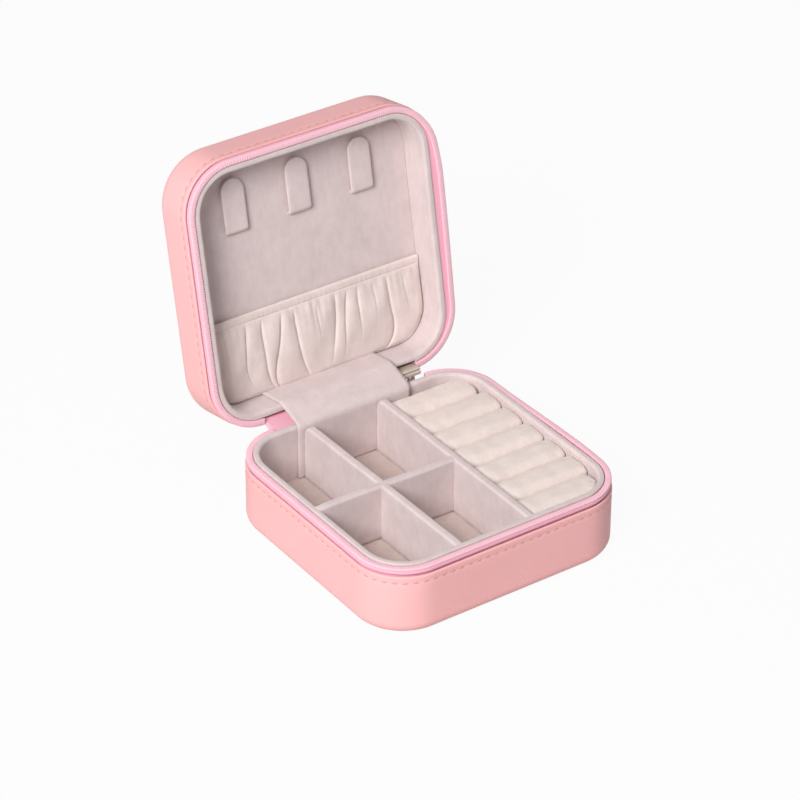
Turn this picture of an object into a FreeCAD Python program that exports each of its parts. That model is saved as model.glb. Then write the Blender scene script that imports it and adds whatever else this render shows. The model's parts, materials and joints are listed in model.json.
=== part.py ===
"""Zipped leather jewellery case with its lid open.

The base is a leather-covered tray with velvet walls, four compartments and a bed of ring rolls.
The lid hangs on a leather spine at the back and holds three necklace hooks and a gathered pocket.
Units are millimetres. The origin is the middle of the base's underside, +Z up, -Y the front.
Lid pieces are drawn in a lid frame, closed, with z = 0 on the plane where the two zip halves meet.
"""
import FreeCAD, Part
import math
import os
import Sketcher

V = FreeCAD.Vector
ROLL_COUNT = 7
HOOK_COUNT = 3
ROLL_STEPS = 6
FOLD_STEPS = 4

# Driving dimensions
DIMENSIONS = {
    "case_width": (100.0, "outside width of base and lid"),
    "case_depth": (97.4, "outside depth of base and lid"),
    "corner_radius": (18.4, "plan radius of the leather corners"),
    "base_height": (23.2, "height of the base's leather band"),
    "base_round": (4.1, "radius between the band and the underside"),
    "lid_height": (17.9, "height of the lid's leather band"),
    "lid_round": (4.9, "radius between the band and the lid's top"),
    "zip_band": (6.4, "zip height showing between the two leather edges"),
    "lid_open": (100.8, "angle from closed to fully open, in degrees"),
    "hinge_out": (1.2, "hinge axis behind the back face"),
    "hinge_drop": (1.8, "hinge axis below the zip plane"),
    "leather": (1.0, "thickness of the leather"),
    "layer_gap": (0.1, "glue line between the layers of a wall"),
    "tape": (0.5, "thickness of the zip tape and of the spine"),
    "tape_tuck": (5.0, "tape and spine sewn in behind the leather"),
    "coil": (1.8, "width and height of one zip coil"),
    "coil_gap": (0.2, "coil to the zip plane"),
    "board": (1.5, "thickness of the board in the walls"),
    "board_floor": (1.6, "thickness of the board in base floor and lid top"),
    "board_drop": (0.6, "board edge below the leather edge"),
    "lining": (1.8, "thickness of the velvet wall lining"),
    "rim_edge": (0.55, "bevel of the lining's rim"),
    "rim_rise": (0.3, "base rim above the zip plane"),
    "rim_gap": (0.4, "base rim to lid rim with the lid closed"),
    "card_gap": (0.15, "clearance round the cards that fit inside the lining"),
    "floor_foam": (1.4, "foam under the floor card"),
    "floor_card": (1.5, "velvet floor card"),
    "lid_foam": (3.4, "foam under the lid's leather"),
    "panel_card": (2.0, "velvet panel card in the lid"),
    "divider": (3.2, "thickness of the velvet-covered dividers"),
    "divider_height": (21.2, "height of the dividers above the floor"),
    "divider_corner": (2.5, "rounding of a divider's upper corners"),
    "divider_edge": (0.9, "bevel of a divider's top edge"),
    "divider_gap": (0.15, "clearance at divider ends and laps"),
    "ring_divider_x": (9.95, "ring divider from the middle"),
    "long_divider_x": (19.5, "long divider left of the middle"),
    "cross_divider_y": (1.4, "cross divider in front of the middle"),
    "roll_height": (19.4, "height of a ring roll"),
    "roll_crown": (3.4, "height of a ring roll's round top"),
    "roll_gap": (0.45, "gap between two ring rolls"),
    "roll_end": (5.0, "length over which a roll's right end rounds off"),
    "roll_end_drop": (2.4, "how far a roll's crest drops at its right end"),
    "roll_draw": (0.9, "how far a roll's sides draw in at its right end"),
    "roll_least": (0.5, "least width of a corner roll's right end, as a share of a roll"),
    "roll_clear": (0.3, "ring rolls to the walls of their bay"),
    "flap": (1.0, "thickness of the velvet hinge flap"),
    "flap_extra": (1.4, "hinge flap's width beyond the spine's"),
    "flap_x": (0.6, "hinge flap's middle left of the case's middle"),
    "flap_gap": (0.25, "hinge flap to the wall that it lies on"),
    "flap_rise": (0.8, "bend of the hinge flap above the base rim"),
    "flap_bend": (2.5, "radius of the flap's bend over the base rim"),
    "flap_ease": (6.0, "radius of the flap's bend at the lid rim"),
    "spine_width": (45.0, "width of the leather spine behind the hinge flap"),
    "spine_left": (8.3, "spine's reach past that width on the left"),
    "spine_gap": (0.4, "spine to the zip's two ends"),
    "spine_rise": (0.7, "spine's bend above the base's leather edge"),
    "spine_bend": (1.5, "radius of the spine's bend"),
    "hook_pitch": (25.6, "distance between the necklace hooks"),
    "hook_x": (0.3, "middle hook left of the case's middle"),
    "hook_drop": (6.2, "free ends of the hooks below the lid's upper wall"),
    "hook_length": (20.0, "length of a hook"),
    "hook_width": (9.0, "width of a hook"),
    "hook": (1.2, "thickness of a hook"),
    "hook_stand": (0.9, "gap between a hook and the panel"),
    "hook_bend": (0.5, "inside radius of a hook's bend"),
    "hook_tip": (4.3, "rounding of a hook's free end"),
    "hem_top": (11.8, "pocket's upper edge below the middle of the lid"),
    "hem_wall": (0.4, "cloth round the elastic in the hem"),
    "hem_stand": (0.6, "gap between the pocket hem and the panel"),
    "hem_gap": (0.1, "clearance between pocket, hem and elastic"),
    "elastic_width": (2.2, "width of the elastic"),
    "elastic": (0.5, "thickness of the elastic"),
    "pocket": (1.1, "thickness of the pocket cloth"),
    "pocket_belly": (1.5, "how far the middle of the pocket stands out"),
    "pocket_fold": (1.3, "height of the pocket's folds at its middle"),
    "pocket_gather": (0.7, "height of the folds at the hem and the bottom seam"),
    "pocket_clear": (0.4, "pocket and hem to the lining"),
    "slider_length": (8.4, "length of the slider along the zip"),
    "slider_side": (0.4, "slider to the leather edges with the lid closed"),
    "slider_clear": (0.35, "slider's inner plate to the lining with the lid closed"),
    "slider_gap": (0.5, "slider's nose to the zip halves at the back"),
    "tape_end": (0.7, "end of the joined tapes showing past the slider's tail"),
    "slider_tail": (4.4, "width of the slider at its tail"),
    "slider_plate": (0.6, "thickness of the slider's two plates"),
    "slider_channel": (2.4, "space between the slider's plates"),
    "slider_flange": (0.6, "thickness of the slider's side flanges"),
    "slider_slot": (0.9, "slot between the flanges for the tape"),
    "slider_post": (1.6, "thickness of the post that parts the coils"),
    "bail_length": (5.2, "length of the bail over the slider"),
    "bail_bar": (0.9, "thickness of the bail"),
    "bail_width": (1.6, "width of the bail"),
    "pin_clear": (0.6, "clearance round the pull's pin in the bail"),
    "pull_length": (17.0, "pull from its pin to its free end"),
    "pull_hang": (90.0, "angle from the closed zip's outward side to the plumb pull, in degrees"),
    "pull_waist": (3.4, "width of the pull at its waist"),
    "pull": (0.9, "thickness of the pull and its pin"),
    "pull_arm": (0.9, "width of the arms beside the pull's eye"),
    "eye_clear": (0.6, "bail to the arms beside the pull's eye"),
    "eye_end": (0.55, "bail's far corner to the end of the pull's eye"),
}

# Places worked out from the driving dimensions
LAYOUT = {
    "half_x": "dims.case_width / 2",
    "half_y": "dims.case_depth / 2",
    "ground": "0",
    "skin": "0",
    "zip_z": "dims.base_height + dims.zip_band / 2",
    "hinge_y": "half_y + dims.hinge_out",
    "hinge_z": "zip_z - dims.hinge_drop",
    "lid_y": "hinge_y - hinge_y * cos(dims.lid_open * 1deg) + dims.hinge_drop * sin(dims.lid_open * 1deg)",
    "lid_z": "hinge_z + hinge_y * sin(dims.lid_open * 1deg) + dims.hinge_drop * cos(dims.lid_open * 1deg)",
    "tape_inset": "dims.leather + dims.layer_gap",
    "tape_inner": "tape_inset + dims.tape",
    "board_inset": "tape_inner + dims.layer_gap",
    "board_inner": "board_inset + dims.board",
    "lining_inset": "board_inner + dims.layer_gap",
    "inner_inset": "lining_inset + dims.lining",
    "card_inset": "inner_inset + dims.card_gap",
    "slider_face": "dims.slider_channel / 2 + dims.slider_plate",
    "slider_inset": "lining_inset - dims.slider_clear - slider_face",
    "coil_inset": "slider_inset - dims.coil / 2",
    "coil_inner": "slider_inset + dims.coil / 2",
    "ledge_inset": "coil_inner + dims.layer_gap",
    "ledge_near": "half_y - lining_inset",
    "inner_x": "half_x - inner_inset",
    "inner_y": "half_y - inner_inset",
    "bevel_share": "2 - sqrt(2)",
    "soft_share": "tan(22.5 * 1deg) - tan(11.25 * 1deg)",
    "cover_outer": "bevel_share * dims.base_round",
    "cover_soft": "soft_share * dims.base_round",
    "lid_outer": "bevel_share * dims.lid_round",
    "lid_soft": "soft_share * dims.lid_round",
    "cover_bevel": "bevel_share * (dims.base_round - dims.leather)",
    "lid_bevel": "bevel_share * (dims.lid_round - dims.leather)",
    "board_bevel": "bevel_share * (dims.base_round - board_inset)",
    "lid_board_bevel": "bevel_share * (dims.lid_round - board_inset)",
    "foam_bevel": "bevel_share * (dims.lid_round - board_inner)",
    "cover_depth": "dims.base_height - dims.leather",
    "lid_cover_depth": "dims.lid_height - dims.leather",
    "board_z": "dims.leather + dims.layer_gap",
    "board_height": "dims.base_height - dims.board_drop - board_z",
    "board_depth": "board_height - dims.board_floor",
    "foam_z": "board_z + dims.board_floor + dims.layer_gap",
    "card_z": "foam_z + dims.floor_foam + dims.layer_gap",
    "floor_z": "card_z + dims.floor_card",
    "rim_z": "zip_z + dims.rim_rise",
    "rim_bevel": "min(dims.rim_edge; 0.45 * dims.lining)",
    "lining_height": "rim_z - foam_z",
    "ledge_z": "dims.base_height - dims.board_drop + dims.layer_gap",
    "ledge_height": "rim_z - ledge_z",
    "tape_z": "dims.base_height - dims.tape_tuck",
    "coil_z": "zip_z - dims.coil_gap - dims.coil",
    "tape_height": "coil_z - tape_z",
    "lid_edge": "dims.zip_band / 2",
    "lid_top": "lid_edge + dims.lid_height",
    "lid_foam_z": "lid_top - dims.leather - dims.layer_gap - dims.lid_foam",
    "lid_board_top": "lid_foam_z - dims.layer_gap",
    "lid_board_z": "lid_edge + dims.board_drop",
    "lid_board_height": "lid_board_top - lid_board_z",
    "lid_board_depth": "lid_board_height - dims.board_floor",
    "panel_top": "lid_board_top - dims.board_floor - dims.layer_gap",
    "panel_z": "panel_top - dims.panel_card",
    "lid_rim": "dims.rim_rise + dims.rim_gap",
    "lid_lining_height": "panel_top - lid_rim",
    "lid_ledge_height": "lid_board_z - dims.layer_gap - lid_rim",
    "lid_coil_z": "dims.coil_gap",
    "lid_tape_z": "dims.coil_gap + dims.coil",
    "lid_tape_height": "lid_edge + dims.tape_tuck - lid_tape_z",
    "zip_end": "dims.spine_width / 2 + dims.spine_gap",
    "zip_left": "-zip_end - dims.spine_left",
    "slider_x": "zip_end + dims.tape_end + dims.slider_length / 2",
    "slider_width": "dims.zip_band - 2 * dims.slider_side",
    "zip_start": "slider_x + dims.slider_length / 2 + dims.slider_gap",
    "gap_near": "half_y - dims.corner_radius / 2",
    "gap_far": "half_y + dims.corner_radius",
    "divider_top": "floor_z + dims.divider_height",
    "lap_z": "floor_z + dims.divider_height / 2",
    "lap_top": "divider_top + dims.divider",
    "lap_low": "floor_z - dims.divider",
    "flap_face": "inner_y - dims.flap_gap - dims.flap",
    "flap_width": "dims.spine_width + dims.flap_extra",
    "divider_front": "-inner_y + dims.divider_gap",
    "divider_back": "flap_face - dims.divider_gap",
    "cross_left": "-inner_x + dims.divider_gap",
    "cross_right": "dims.ring_divider_x - dims.divider / 2 - dims.divider_gap",
    "long_x": "-dims.long_divider_x",
    "cross_y": "-dims.cross_divider_y",
    "long_slot_front": "cross_y - dims.divider / 2 - dims.divider_gap",
    "long_slot_back": "cross_y + dims.divider / 2 + dims.divider_gap",
    "cross_slot_left": "long_x - dims.divider / 2 - dims.divider_gap",
    "cross_slot_right": "long_x + dims.divider / 2 + dims.divider_gap",
    "slider_y": "half_y - slider_inset",
    "hook_back": "panel_z - dims.hook_stand",
    "hook_front": "hook_back - dims.hook",
    "hook_top_y": "-inner_y + dims.hook_drop",
    "hook_foot_y": "hook_top_y + dims.hook_length",
    "hook_neck_y": "hook_foot_y - dims.hook",
    "hook_outer_bend": "dims.hook_bend + dims.hook",
    "hook_1_x": "-dims.hook_x - dims.hook_pitch",
    "hook_2_x": "-dims.hook_x",
    "hook_3_x": "-dims.hook_x + dims.hook_pitch",
    "tunnel_width": "dims.elastic_width + 2 * dims.hem_gap",
    "tunnel_height": "dims.elastic + 2 * dims.hem_gap",
    "hem_low_y": "dims.hem_top + tunnel_width + 2 * dims.hem_wall",
    "hem_back": "panel_z - dims.hem_stand",
    "hem_front": "hem_back - tunnel_height - 2 * dims.hem_wall",
    "hem_round": "dims.hem_wall",
    "hem_length": "2 * (inner_x - dims.pocket_clear)",
    "tunnel_top_y": "dims.hem_top + dims.hem_wall",
    "tunnel_low_y": "tunnel_top_y + tunnel_width",
    "tunnel_back": "hem_back - dims.hem_wall",
    "tunnel_front": "tunnel_back - tunnel_height",
    "elastic_top_y": "tunnel_top_y + dims.hem_gap",
    "elastic_low_y": "elastic_top_y + dims.elastic_width",
    "elastic_back": "tunnel_back - dims.hem_gap",
    "elastic_front": "elastic_back - dims.elastic",
    "slider_arm_y": "slider_y - hinge_y",
    "slider_swing_y": "slider_arm_y * cos(dims.lid_open * 1deg)",
    "slider_swing_z": "slider_arm_y * sin(dims.lid_open * 1deg)",
    "slider_rest_y": "hinge_y + slider_swing_y + dims.hinge_drop * sin(dims.lid_open * 1deg)",
    "slider_rest_z": "hinge_z - slider_swing_z + dims.hinge_drop * cos(dims.lid_open * 1deg)",
    "slider_thickness": "2 * slider_face",
    "bail_window": "dims.pull + 2 * dims.pin_clear",
    "pin_y": "slider_face + bail_window / 2",
    "bail_rise": "bail_window / 2 + dims.bail_bar",
    "pull_eye": "sqrt(dims.bail_length ^ 2 / 4 + bail_rise ^ 2) + dims.eye_end",
    "pull_width": "dims.bail_width + 2 * dims.eye_clear + 2 * dims.pull_arm",
    "pull_rest_y": "slider_rest_y + pin_y * cos(dims.lid_open * 1deg)",
    "pull_rest_z": "slider_rest_z - pin_y * sin(dims.lid_open * 1deg)",
}

doc = FreeCAD.newDocument("jewellery_case")
dims = doc.addObject("Spreadsheet::Sheet", "dims")
layout = doc.addObject("Spreadsheet::Sheet", "layout")


def fill_sheets():
    """Write the driving dimensions as plain numbers and the places as formulas, one alias a row."""
    for row, (alias, (number, meaning)) in enumerate(DIMENSIONS.items(), start=1):
        dims.set("A%d" % row, alias)
        dims.set("B%d" % row, str(number))
        dims.set("C%d" % row, meaning)
        dims.setAlias("B%d" % row, alias)
    for row, (alias, formula) in enumerate(LAYOUT.items(), start=1):
        layout.set("A%d" % row, alias)
        layout.set("B%d" % row, "=" + formula)
        layout.setAlias("B%d" % row, alias)
    doc.recompute()


def ref(alias):
    """Name a cell in an expression."""
    return ("dims." if alias in DIMENSIONS else "layout.") + alias


def size(alias):
    """Read a cell's number."""
    return float((dims if alias in DIMENSIONS else layout).get(alias))


# Helpers for sketches and features
def new_body(label):
    body = doc.addObject("PartDesign::Body", label)
    body.Label = label
    return body


def new_sketch(body, name, role, offset=None):
    """Start a sketch on one of the body's own origin planes, moved along its normal by a cell."""
    sketch = body.newObject("Sketcher::SketchObject", body.Label + "_" + name)
    plane = [item for item in body.Origin.OriginFeatures if item.Role == role][0]
    sketch.AttachmentSupport = [(plane, "")]
    sketch.MapMode = "FlatFace"
    if offset:
        sketch.setExpression("AttachmentOffset.Base.z", ref(offset))
    return sketch


def bind(sketch, constraint, name, expression):
    index = sketch.addConstraint(constraint)
    sketch.renameConstraint(index, name)
    sketch.setExpression("Constraints." + name, expression)


def draw_plan(sketch, inset):
    """Draw the case's plan, a rectangle with round corners, drawn in by a cell on every side."""
    half_x = size("half_x") - size(inset)
    half_y = size("half_y") - size(inset)
    radius = size("corner_radius") - size(inset)
    x, y = half_x - radius, half_y - radius
    corners = [(x, -y, -90), (x, y, 0), (-x, y, 90), (-x, -y, 180)]
    sides = [((-x, -half_y), (x, -half_y)), ((half_x, -y), (half_x, y)),
             ((x, half_y), (-x, half_y)), ((-half_x, y), (-half_x, -y))]
    first = sketch.GeometryCount
    for (start, end), (cx, cy, angle) in zip(sides, corners):
        sketch.addGeometry(Part.LineSegment(V(*start, 0), V(*end, 0)))
        circle = Part.Circle(V(cx, cy, 0), V(0, 0, 1), radius)
        sketch.addGeometry(Part.ArcOfCircle(circle, math.radians(angle), math.radians(angle + 90)))
    for step in range(8):
        after = first + (step + 1) % 8
        sketch.addConstraint(Sketcher.Constraint("Tangent", first + step, 2, after, 1))
    for arc in (3, 5, 7):
        sketch.addConstraint(Sketcher.Constraint("Equal", first + 1, first + arc))
    for line, direction in ((0, "Horizontal"), (2, "Vertical"), (4, "Horizontal"), (6, "Vertical")):
        sketch.addConstraint(Sketcher.Constraint(direction, first + line))
    less = " - " + ref(inset)
    bind(sketch, Sketcher.Constraint("Radius", first + 1, radius),
         "radius_" + inset, ref("corner_radius") + less)
    bind(sketch, Sketcher.Constraint("DistanceX", -1, 1, first + 2, 1, half_x),
         "right_" + inset, ref("half_x") + less)
    bind(sketch, Sketcher.Constraint("DistanceX", first + 6, 1, -1, 1, half_x),
         "left_" + inset, ref("half_x") + less)
    bind(sketch, Sketcher.Constraint("DistanceY", -1, 1, first + 4, 1, half_y),
         "back_" + inset, ref("half_y") + less)
    bind(sketch, Sketcher.Constraint("DistanceY", first, 1, -1, 1, half_y),
         "front_" + inset, ref("half_y") + less)


def draw_polygon(sketch, points):
    """Draw a closed outline whose corners are pairs of expressions, each with its first number."""
    first = sketch.GeometryCount
    count = len(points)
    for number in range(count):
        (xa, _), (ya, _) = points[number]
        (xb, _), (yb, _) = points[(number + 1) % count]
        sketch.addGeometry(Part.LineSegment(V(xa, ya, 0), V(xb, yb, 0)))
    for number in range(count):
        after = first + (number + 1) % count
        sketch.addConstraint(Sketcher.Constraint("Coincident", first + number, 2, after, 1))
    for number in range(count):
        (x, x_expression), (y, y_expression) = points[number]
        corner = first + number
        bind(sketch, Sketcher.Constraint("DistanceX", -1, 1, corner, 1, x), "x%d" % corner, x_expression)
        bind(sketch, Sketcher.Constraint("DistanceY", -1, 1, corner, 1, y), "y%d" % corner, y_expression)


def cell(alias, factor=1):
    """A cell's number and expression, times a plain factor, for draw_polygon."""
    return factor * size(alias), "%g * %s" % (factor, ref(alias))


def draw_rectangle(sketch, left, right, low, high):
    draw_polygon(sketch, [(left, low), (right, low), (right, high), (left, high)])


def pad(body, sketch, name, length, symmetric=False, reverse=False):
    feature = body.newObject("PartDesign::Pad", body.Label + "_" + name)
    feature.Profile = sketch
    feature.setExpression("Length", ref(length))
    feature.SideType = "Symmetric" if symmetric else "One side"
    feature.Reversed = reverse
    doc.recompute()
    return feature


def pocket(body, sketch, name, length=None, symmetric=False, reverse=False):
    """Cut along the sketch's normal, or right through, and check that material really went."""
    before = body.Shape.Volume
    feature = body.newObject("PartDesign::Pocket", body.Label + "_" + name)
    feature.Profile = sketch
    feature.SideType = "Symmetric" if symmetric else "One side"
    feature.Reversed = reverse
    if length:
        feature.setExpression("Length", ref(length))
    else:
        feature.Type = "ThroughAll"
    doc.recompute()
    if body.Shape.Volume >= before:
        raise RuntimeError(feature.Label + " cuts nothing")
    return feature


def dress(body, kind, name, amount, chosen):
    """Fillet or chamfer the edges of the body's tip for which chosen(edge) is true."""
    base = body.Tip
    edges = ["Edge%d" % number for number, edge in enumerate(base.Shape.Edges, start=1) if chosen(edge)]
    feature = body.newObject("PartDesign::" + kind, body.Label + "_" + name)
    feature.Base = (base, edges)
    feature.setExpression("Radius" if kind == "Fillet" else "Size", ref(amount))
    doc.recompute()
    return feature


def fillet(body, name, radius, chosen):
    return dress(body, "Fillet", name, radius, chosen)


def chamfer(body, name, leg, chosen):
    return dress(body, "Chamfer", name, leg, chosen)


def flat_at(*heights):
    """A test for edges that lie flat at one of some heights."""
    def test(edge):
        box = edge.BoundBox
        return any(abs(box.ZMin - height) + abs(box.ZMax - height) < 1e-3 for height in heights)
    return test


def runs_along(axis, y, z=None):
    """A test for straight edges along X or Z at a place in Y, and in Z if it is given."""
    def test(edge):
        box = edge.BoundBox
        straight = max(box.YLength, box.ZLength if axis == "x" else box.XLength) < 1e-3
        return straight and abs(box.YMin - y) < 1e-3 and (z is None or abs(box.ZMin - z) < 1e-3)
    return test


def hang(piece, angle, place_y, place_z, place_x=None):
    """Turn a piece about X, backwards over the hinge, and set it where some cells say."""
    piece.Placement = FreeCAD.Placement(V(0, 0, 0), FreeCAD.Rotation(V(-1, 0, 0), size(angle)))
    piece.setExpression("Placement.Rotation.Angle", ref(angle) + " * 1deg")
    piece.setExpression("Placement.Base.y", ref(place_y))
    piece.setExpression("Placement.Base.z", ref(place_z))
    if place_x:
        piece.setExpression("Placement.Base.x", ref(place_x))


def hang_on_lid(piece):
    """Turn a piece drawn in the closed lid's frame to the open lid, about the hinge axis."""
    hang(piece, "lid_open", "lid_y", "lid_z")


# Layers of the base and the lid
def make_tray(label, start, height, depth, outer, inner, mouth_up):
    """A tray with round corners, pocketed from its mouth; also its closed and its inner floor height."""
    body = new_body(label)
    plan = new_sketch(body, "plan", "XY_Plane", start)
    draw_plan(plan, outer)
    pad(body, plan, "block", height)
    mouth = new_sketch(body, "mouth", "XY_Plane", start)
    if mouth_up:
        mouth.setExpression("AttachmentOffset.Base.z", ref(start) + " + " + ref(height))
    draw_plan(mouth, inner)
    pocket(body, mouth, "hollow", depth, reverse=not mouth_up)
    low, high = size(start), size(start) + size(height)
    if mouth_up:
        return body, low, high - size(depth)
    return body, high, low + size(depth)


def make_covers():
    """Leather skins, bevelled inside and rounded outside by three bevels that touch the round."""
    pieces = []
    for label, start, height, depth, inside, outside, soft, mouth_up in (
            ("base_cover", "ground", "base_height", "cover_depth",
             "cover_bevel", "cover_outer", "cover_soft", True),
            ("lid_cover", "lid_edge", "lid_height", "lid_cover_depth",
             "lid_bevel", "lid_outer", "lid_soft", False)):
        body, closed_z, floor_z = make_tray(label, start, height, depth, "skin", "leather", mouth_up)
        chamfer(body, "inside", inside, flat_at(floor_z))
        chamfer(body, "outside", outside, flat_at(closed_z))
        wall_z = closed_z + size(outside) * (1 if mouth_up else -1)
        chamfer(body, "soft", soft, flat_at(closed_z, wall_z))
        pieces.append(body)
    hang_on_lid(pieces[1])
    return pieces


def make_boards():
    """Stiff trays glued inside the leather, bevelled to clear its rounded edge."""
    pieces = []
    for label, start, height, depth, bevel, mouth_up in (
            ("base_board", "board_z", "board_height", "board_depth", "board_bevel", True),
            ("lid_board", "lid_board_z", "lid_board_height", "lid_board_depth", "lid_board_bevel", False)):
        body, closed_z, _ = make_tray(label, start, height, depth, "board_inset", "board_inner", mouth_up)
        chamfer(body, "bevel", bevel, flat_at(closed_z))
        pieces.append(body)
    hang_on_lid(pieces[1])
    return pieces


def make_slab(label, inset, start, height):
    """A flat sheet or card with the case's plan."""
    body = new_body(label)
    plan = new_sketch(body, "plan", "XY_Plane", start)
    draw_plan(plan, inset)
    pad(body, plan, "sheet", height)
    return body


def make_sheets():
    """Foam sheets and velvet cards of base and lid."""
    base = [make_slab("base_floor_foam", "card_inset", "foam_z", "floor_foam"),
            make_slab("base_floor_card", "card_inset", "card_z", "floor_card")]
    lid = [make_slab("lid_foam", "board_inner", "lid_foam_z", "lid_foam"),
           make_slab("lid_panel", "card_inset", "panel_z", "panel_card")]
    chamfer(lid[0], "bevel", "foam_bevel", flat_at(size("lid_foam_z") + size("lid_foam")))
    for body in lid:
        hang_on_lid(body)
    return base + lid


def make_band(label, outer, inner, start, height):
    """An upright band that follows the case's plan."""
    body = new_body(label)
    plan = new_sketch(body, "plan", "XY_Plane", start)
    draw_plan(plan, outer)
    draw_plan(plan, inner)
    pad(body, plan, "band", height)
    return body


def open_at_back(body, left, near):
    """Cut a band away at the back, from a place on the left to where the slider's nose meets the zip."""
    gap = new_sketch(body, "gap", "XY_Plane")
    draw_rectangle(gap, cell(left), cell("zip_start"), cell(near), cell("gap_far"))
    pocket(body, gap, "opening", symmetric=True)


def make_linings():
    """Velvet wall bands with a bevelled rim whose ledge laps over the board's edge, save at the slider."""
    pieces = []
    for label, start, height, ledge_start, ledge_height, rim in (
            ("base_lining", "foam_z", "lining_height", "ledge_z", "ledge_height", "rim_z"),
            ("lid_lining", "lid_rim", "lid_lining_height", "lid_rim", "lid_ledge_height", "lid_rim")):
        body = make_band(label, "lining_inset", "inner_inset", start, height)
        ledge = new_sketch(body, "ledge", "XY_Plane", ledge_start)
        draw_plan(ledge, "ledge_inset")
        draw_plan(ledge, "inner_inset")
        pad(body, ledge, "ledge", ledge_height)
        chamfer(body, "rim", "rim_bevel", flat_at(size(rim)))
        open_at_back(body, "zip_end", "ledge_near")
        pieces.append(body)
    hang_on_lid(pieces[1])
    return pieces


def make_zip_halves():
    """Tape and coil of each half, running round from the zip's left end to the slider."""
    pieces = []
    for side, tape_start, tape_height, coil_start in (
            ("base", "tape_z", "tape_height", "coil_z"),
            ("lid", "lid_tape_z", "lid_tape_height", "lid_coil_z")):
        tape = make_band(side + "_zip_tape", "tape_inset", "tape_inner", tape_start, tape_height)
        open_at_back(tape, "zip_left", "gap_near")
        coil = make_band(side + "_zip_coil", "coil_inset", "coil_inner", coil_start, "coil")
        open_at_back(coil, "zip_left", "gap_near")
        pieces += [tape, coil]
        if side == "lid":
            hang_on_lid(tape)
            hang_on_lid(coil)
    return pieces


# Dividers of the base
def make_long_divider(label, place):
    """A divider that runs front to back, with rounded upper corners and a bevelled top edge."""
    body = new_body(label)
    side = new_sketch(body, "side", "YZ_Plane", place)
    draw_rectangle(side, cell("divider_front"), cell("divider_back"), cell("floor_z"), cell("divider_top"))
    pad(body, side, "card", "divider", symmetric=True)
    top = flat_at(size("divider_top"))
    fillet(body, "corners", "divider_corner", lambda edge: top(edge) and edge.BoundBox.YLength < 1e-3)
    chamfer(body, "edge", "divider_edge", lambda edge: top(edge) and edge.BoundBox.XLength < 1e-3)
    return body


def make_dividers():
    """Ring divider, and two cards that lap over each other at half-depth slots."""
    ring = make_long_divider("ring_divider", "ring_divider_x")
    long = make_long_divider("long_divider", "long_x")
    slot = new_sketch(long, "slot", "YZ_Plane", "long_x")
    draw_rectangle(slot, cell("long_slot_front"), cell("long_slot_back"), cell("lap_z"), cell("lap_top"))
    pocket(long, slot, "lap", symmetric=True)
    cross = new_body("cross_divider")
    side = new_sketch(cross, "side", "XZ_Plane", "cross_divider_y")
    draw_rectangle(side, cell("cross_left"), cell("cross_right"), cell("floor_z"), cell("divider_top"))
    pad(cross, side, "card", "divider", symmetric=True)
    top = flat_at(size("divider_top"))
    chamfer(cross, "edge", "divider_edge", lambda edge: top(edge) and edge.BoundBox.YLength < 1e-3)
    slot = new_sketch(cross, "slot", "XZ_Plane", "cross_divider_y")
    draw_rectangle(slot, cell("cross_slot_left"), cell("cross_slot_right"), cell("lap_low"), cell("lap_z"))
    pocket(cross, slot, "lap", symmetric=True)
    return [ring, long, cross]


# Pieces set with Part's own functions
def new_feature(label, shape):
    piece = doc.addObject("Part::Feature", label)
    piece.Label = label
    piece.Shape = shape
    return piece


def inner_half(place, along, across):
    """Half the room between the lining walls at a place along one axis, round the inner corners."""
    radius = size("corner_radius") - size("inner_inset")
    past = min(radius, max(0.0, abs(place) - (size(along) - radius)))
    return size(across) - radius + math.sqrt(radius ** 2 - past ** 2)


def inner_reach(half):
    """How far right the room between the front and back walls is still this wide, halved."""
    radius = size("corner_radius") - size("inner_inset")
    past = max(0.0, half - (size("inner_y") - radius))
    return size("inner_x") - radius + math.sqrt(radius ** 2 - min(radius, past) ** 2)


def arch(steps):
    """Places along an arch, from 0 to 1, each with its height, which rises from 0 to 1 and falls again."""
    return [(k / steps, 4 * k / steps * (1 - k / steps)) for k in range(steps + 1)]


def roll_section(x, left, right, low, crest, crown):
    """One cross-section of a ring roll: flat foot, straight sides and an arched top in straight steps."""
    top = [V(x, right - place * (right - left), crest - crown * (1 - height))
           for place, height in arch(ROLL_STEPS)]
    return Part.makePolygon([V(x, left, low), V(x, right, low)] + top + [V(x, left, low)])


def make_rolls():
    """Foam rolls side by side: a crowned top that fills out along the roll and a pillow-like right end.

    The first and last rolls narrow towards the right, where the wall turns the corner, and end sooner.
    """
    clear, gap, low = size("roll_clear"), size("roll_gap"), size("floor_z")
    start = size("ring_divider_x") + size("divider") / 2 + clear
    front = -size("inner_y") + clear
    back = size("flap_face") - clear
    pitch = (back - front) / ROLL_COUNT
    crest, crown, end = low + size("roll_height"), size("roll_crown"), size("roll_end")
    pieces = []
    for number in range(ROLL_COUNT):
        high = back - number * pitch - gap / 2
        near = min(abs(high), abs(high - pitch + gap))
        stop = inner_reach(near + size("roll_least") * pitch + clear) - clear
        # Along the roll: place, share of the end's drop
        stations = [(start, 0.15), ((start + stop - end) / 2, 0.0), (stop - end, 0.05),
                    (stop - end / 3, 0.35), (stop, 1.0)]
        sections = []
        for x, share in stations:
            wall = inner_half(x, "inner_x", "inner_y") - clear
            draw = share * size("roll_draw")
            left = max(high - pitch + gap, -wall) + draw / 2
            right = min(high, wall) - draw / 2
            rise = min(crown - draw, 0.45 * (right - left))
            sections.append(roll_section(x, left, right, low, crest - share * size("roll_end_drop"), rise))
        pieces.append(new_feature("ring_roll_%d" % (number + 1), Part.makeLoft(sections, True, True)))
    return pieces


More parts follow.
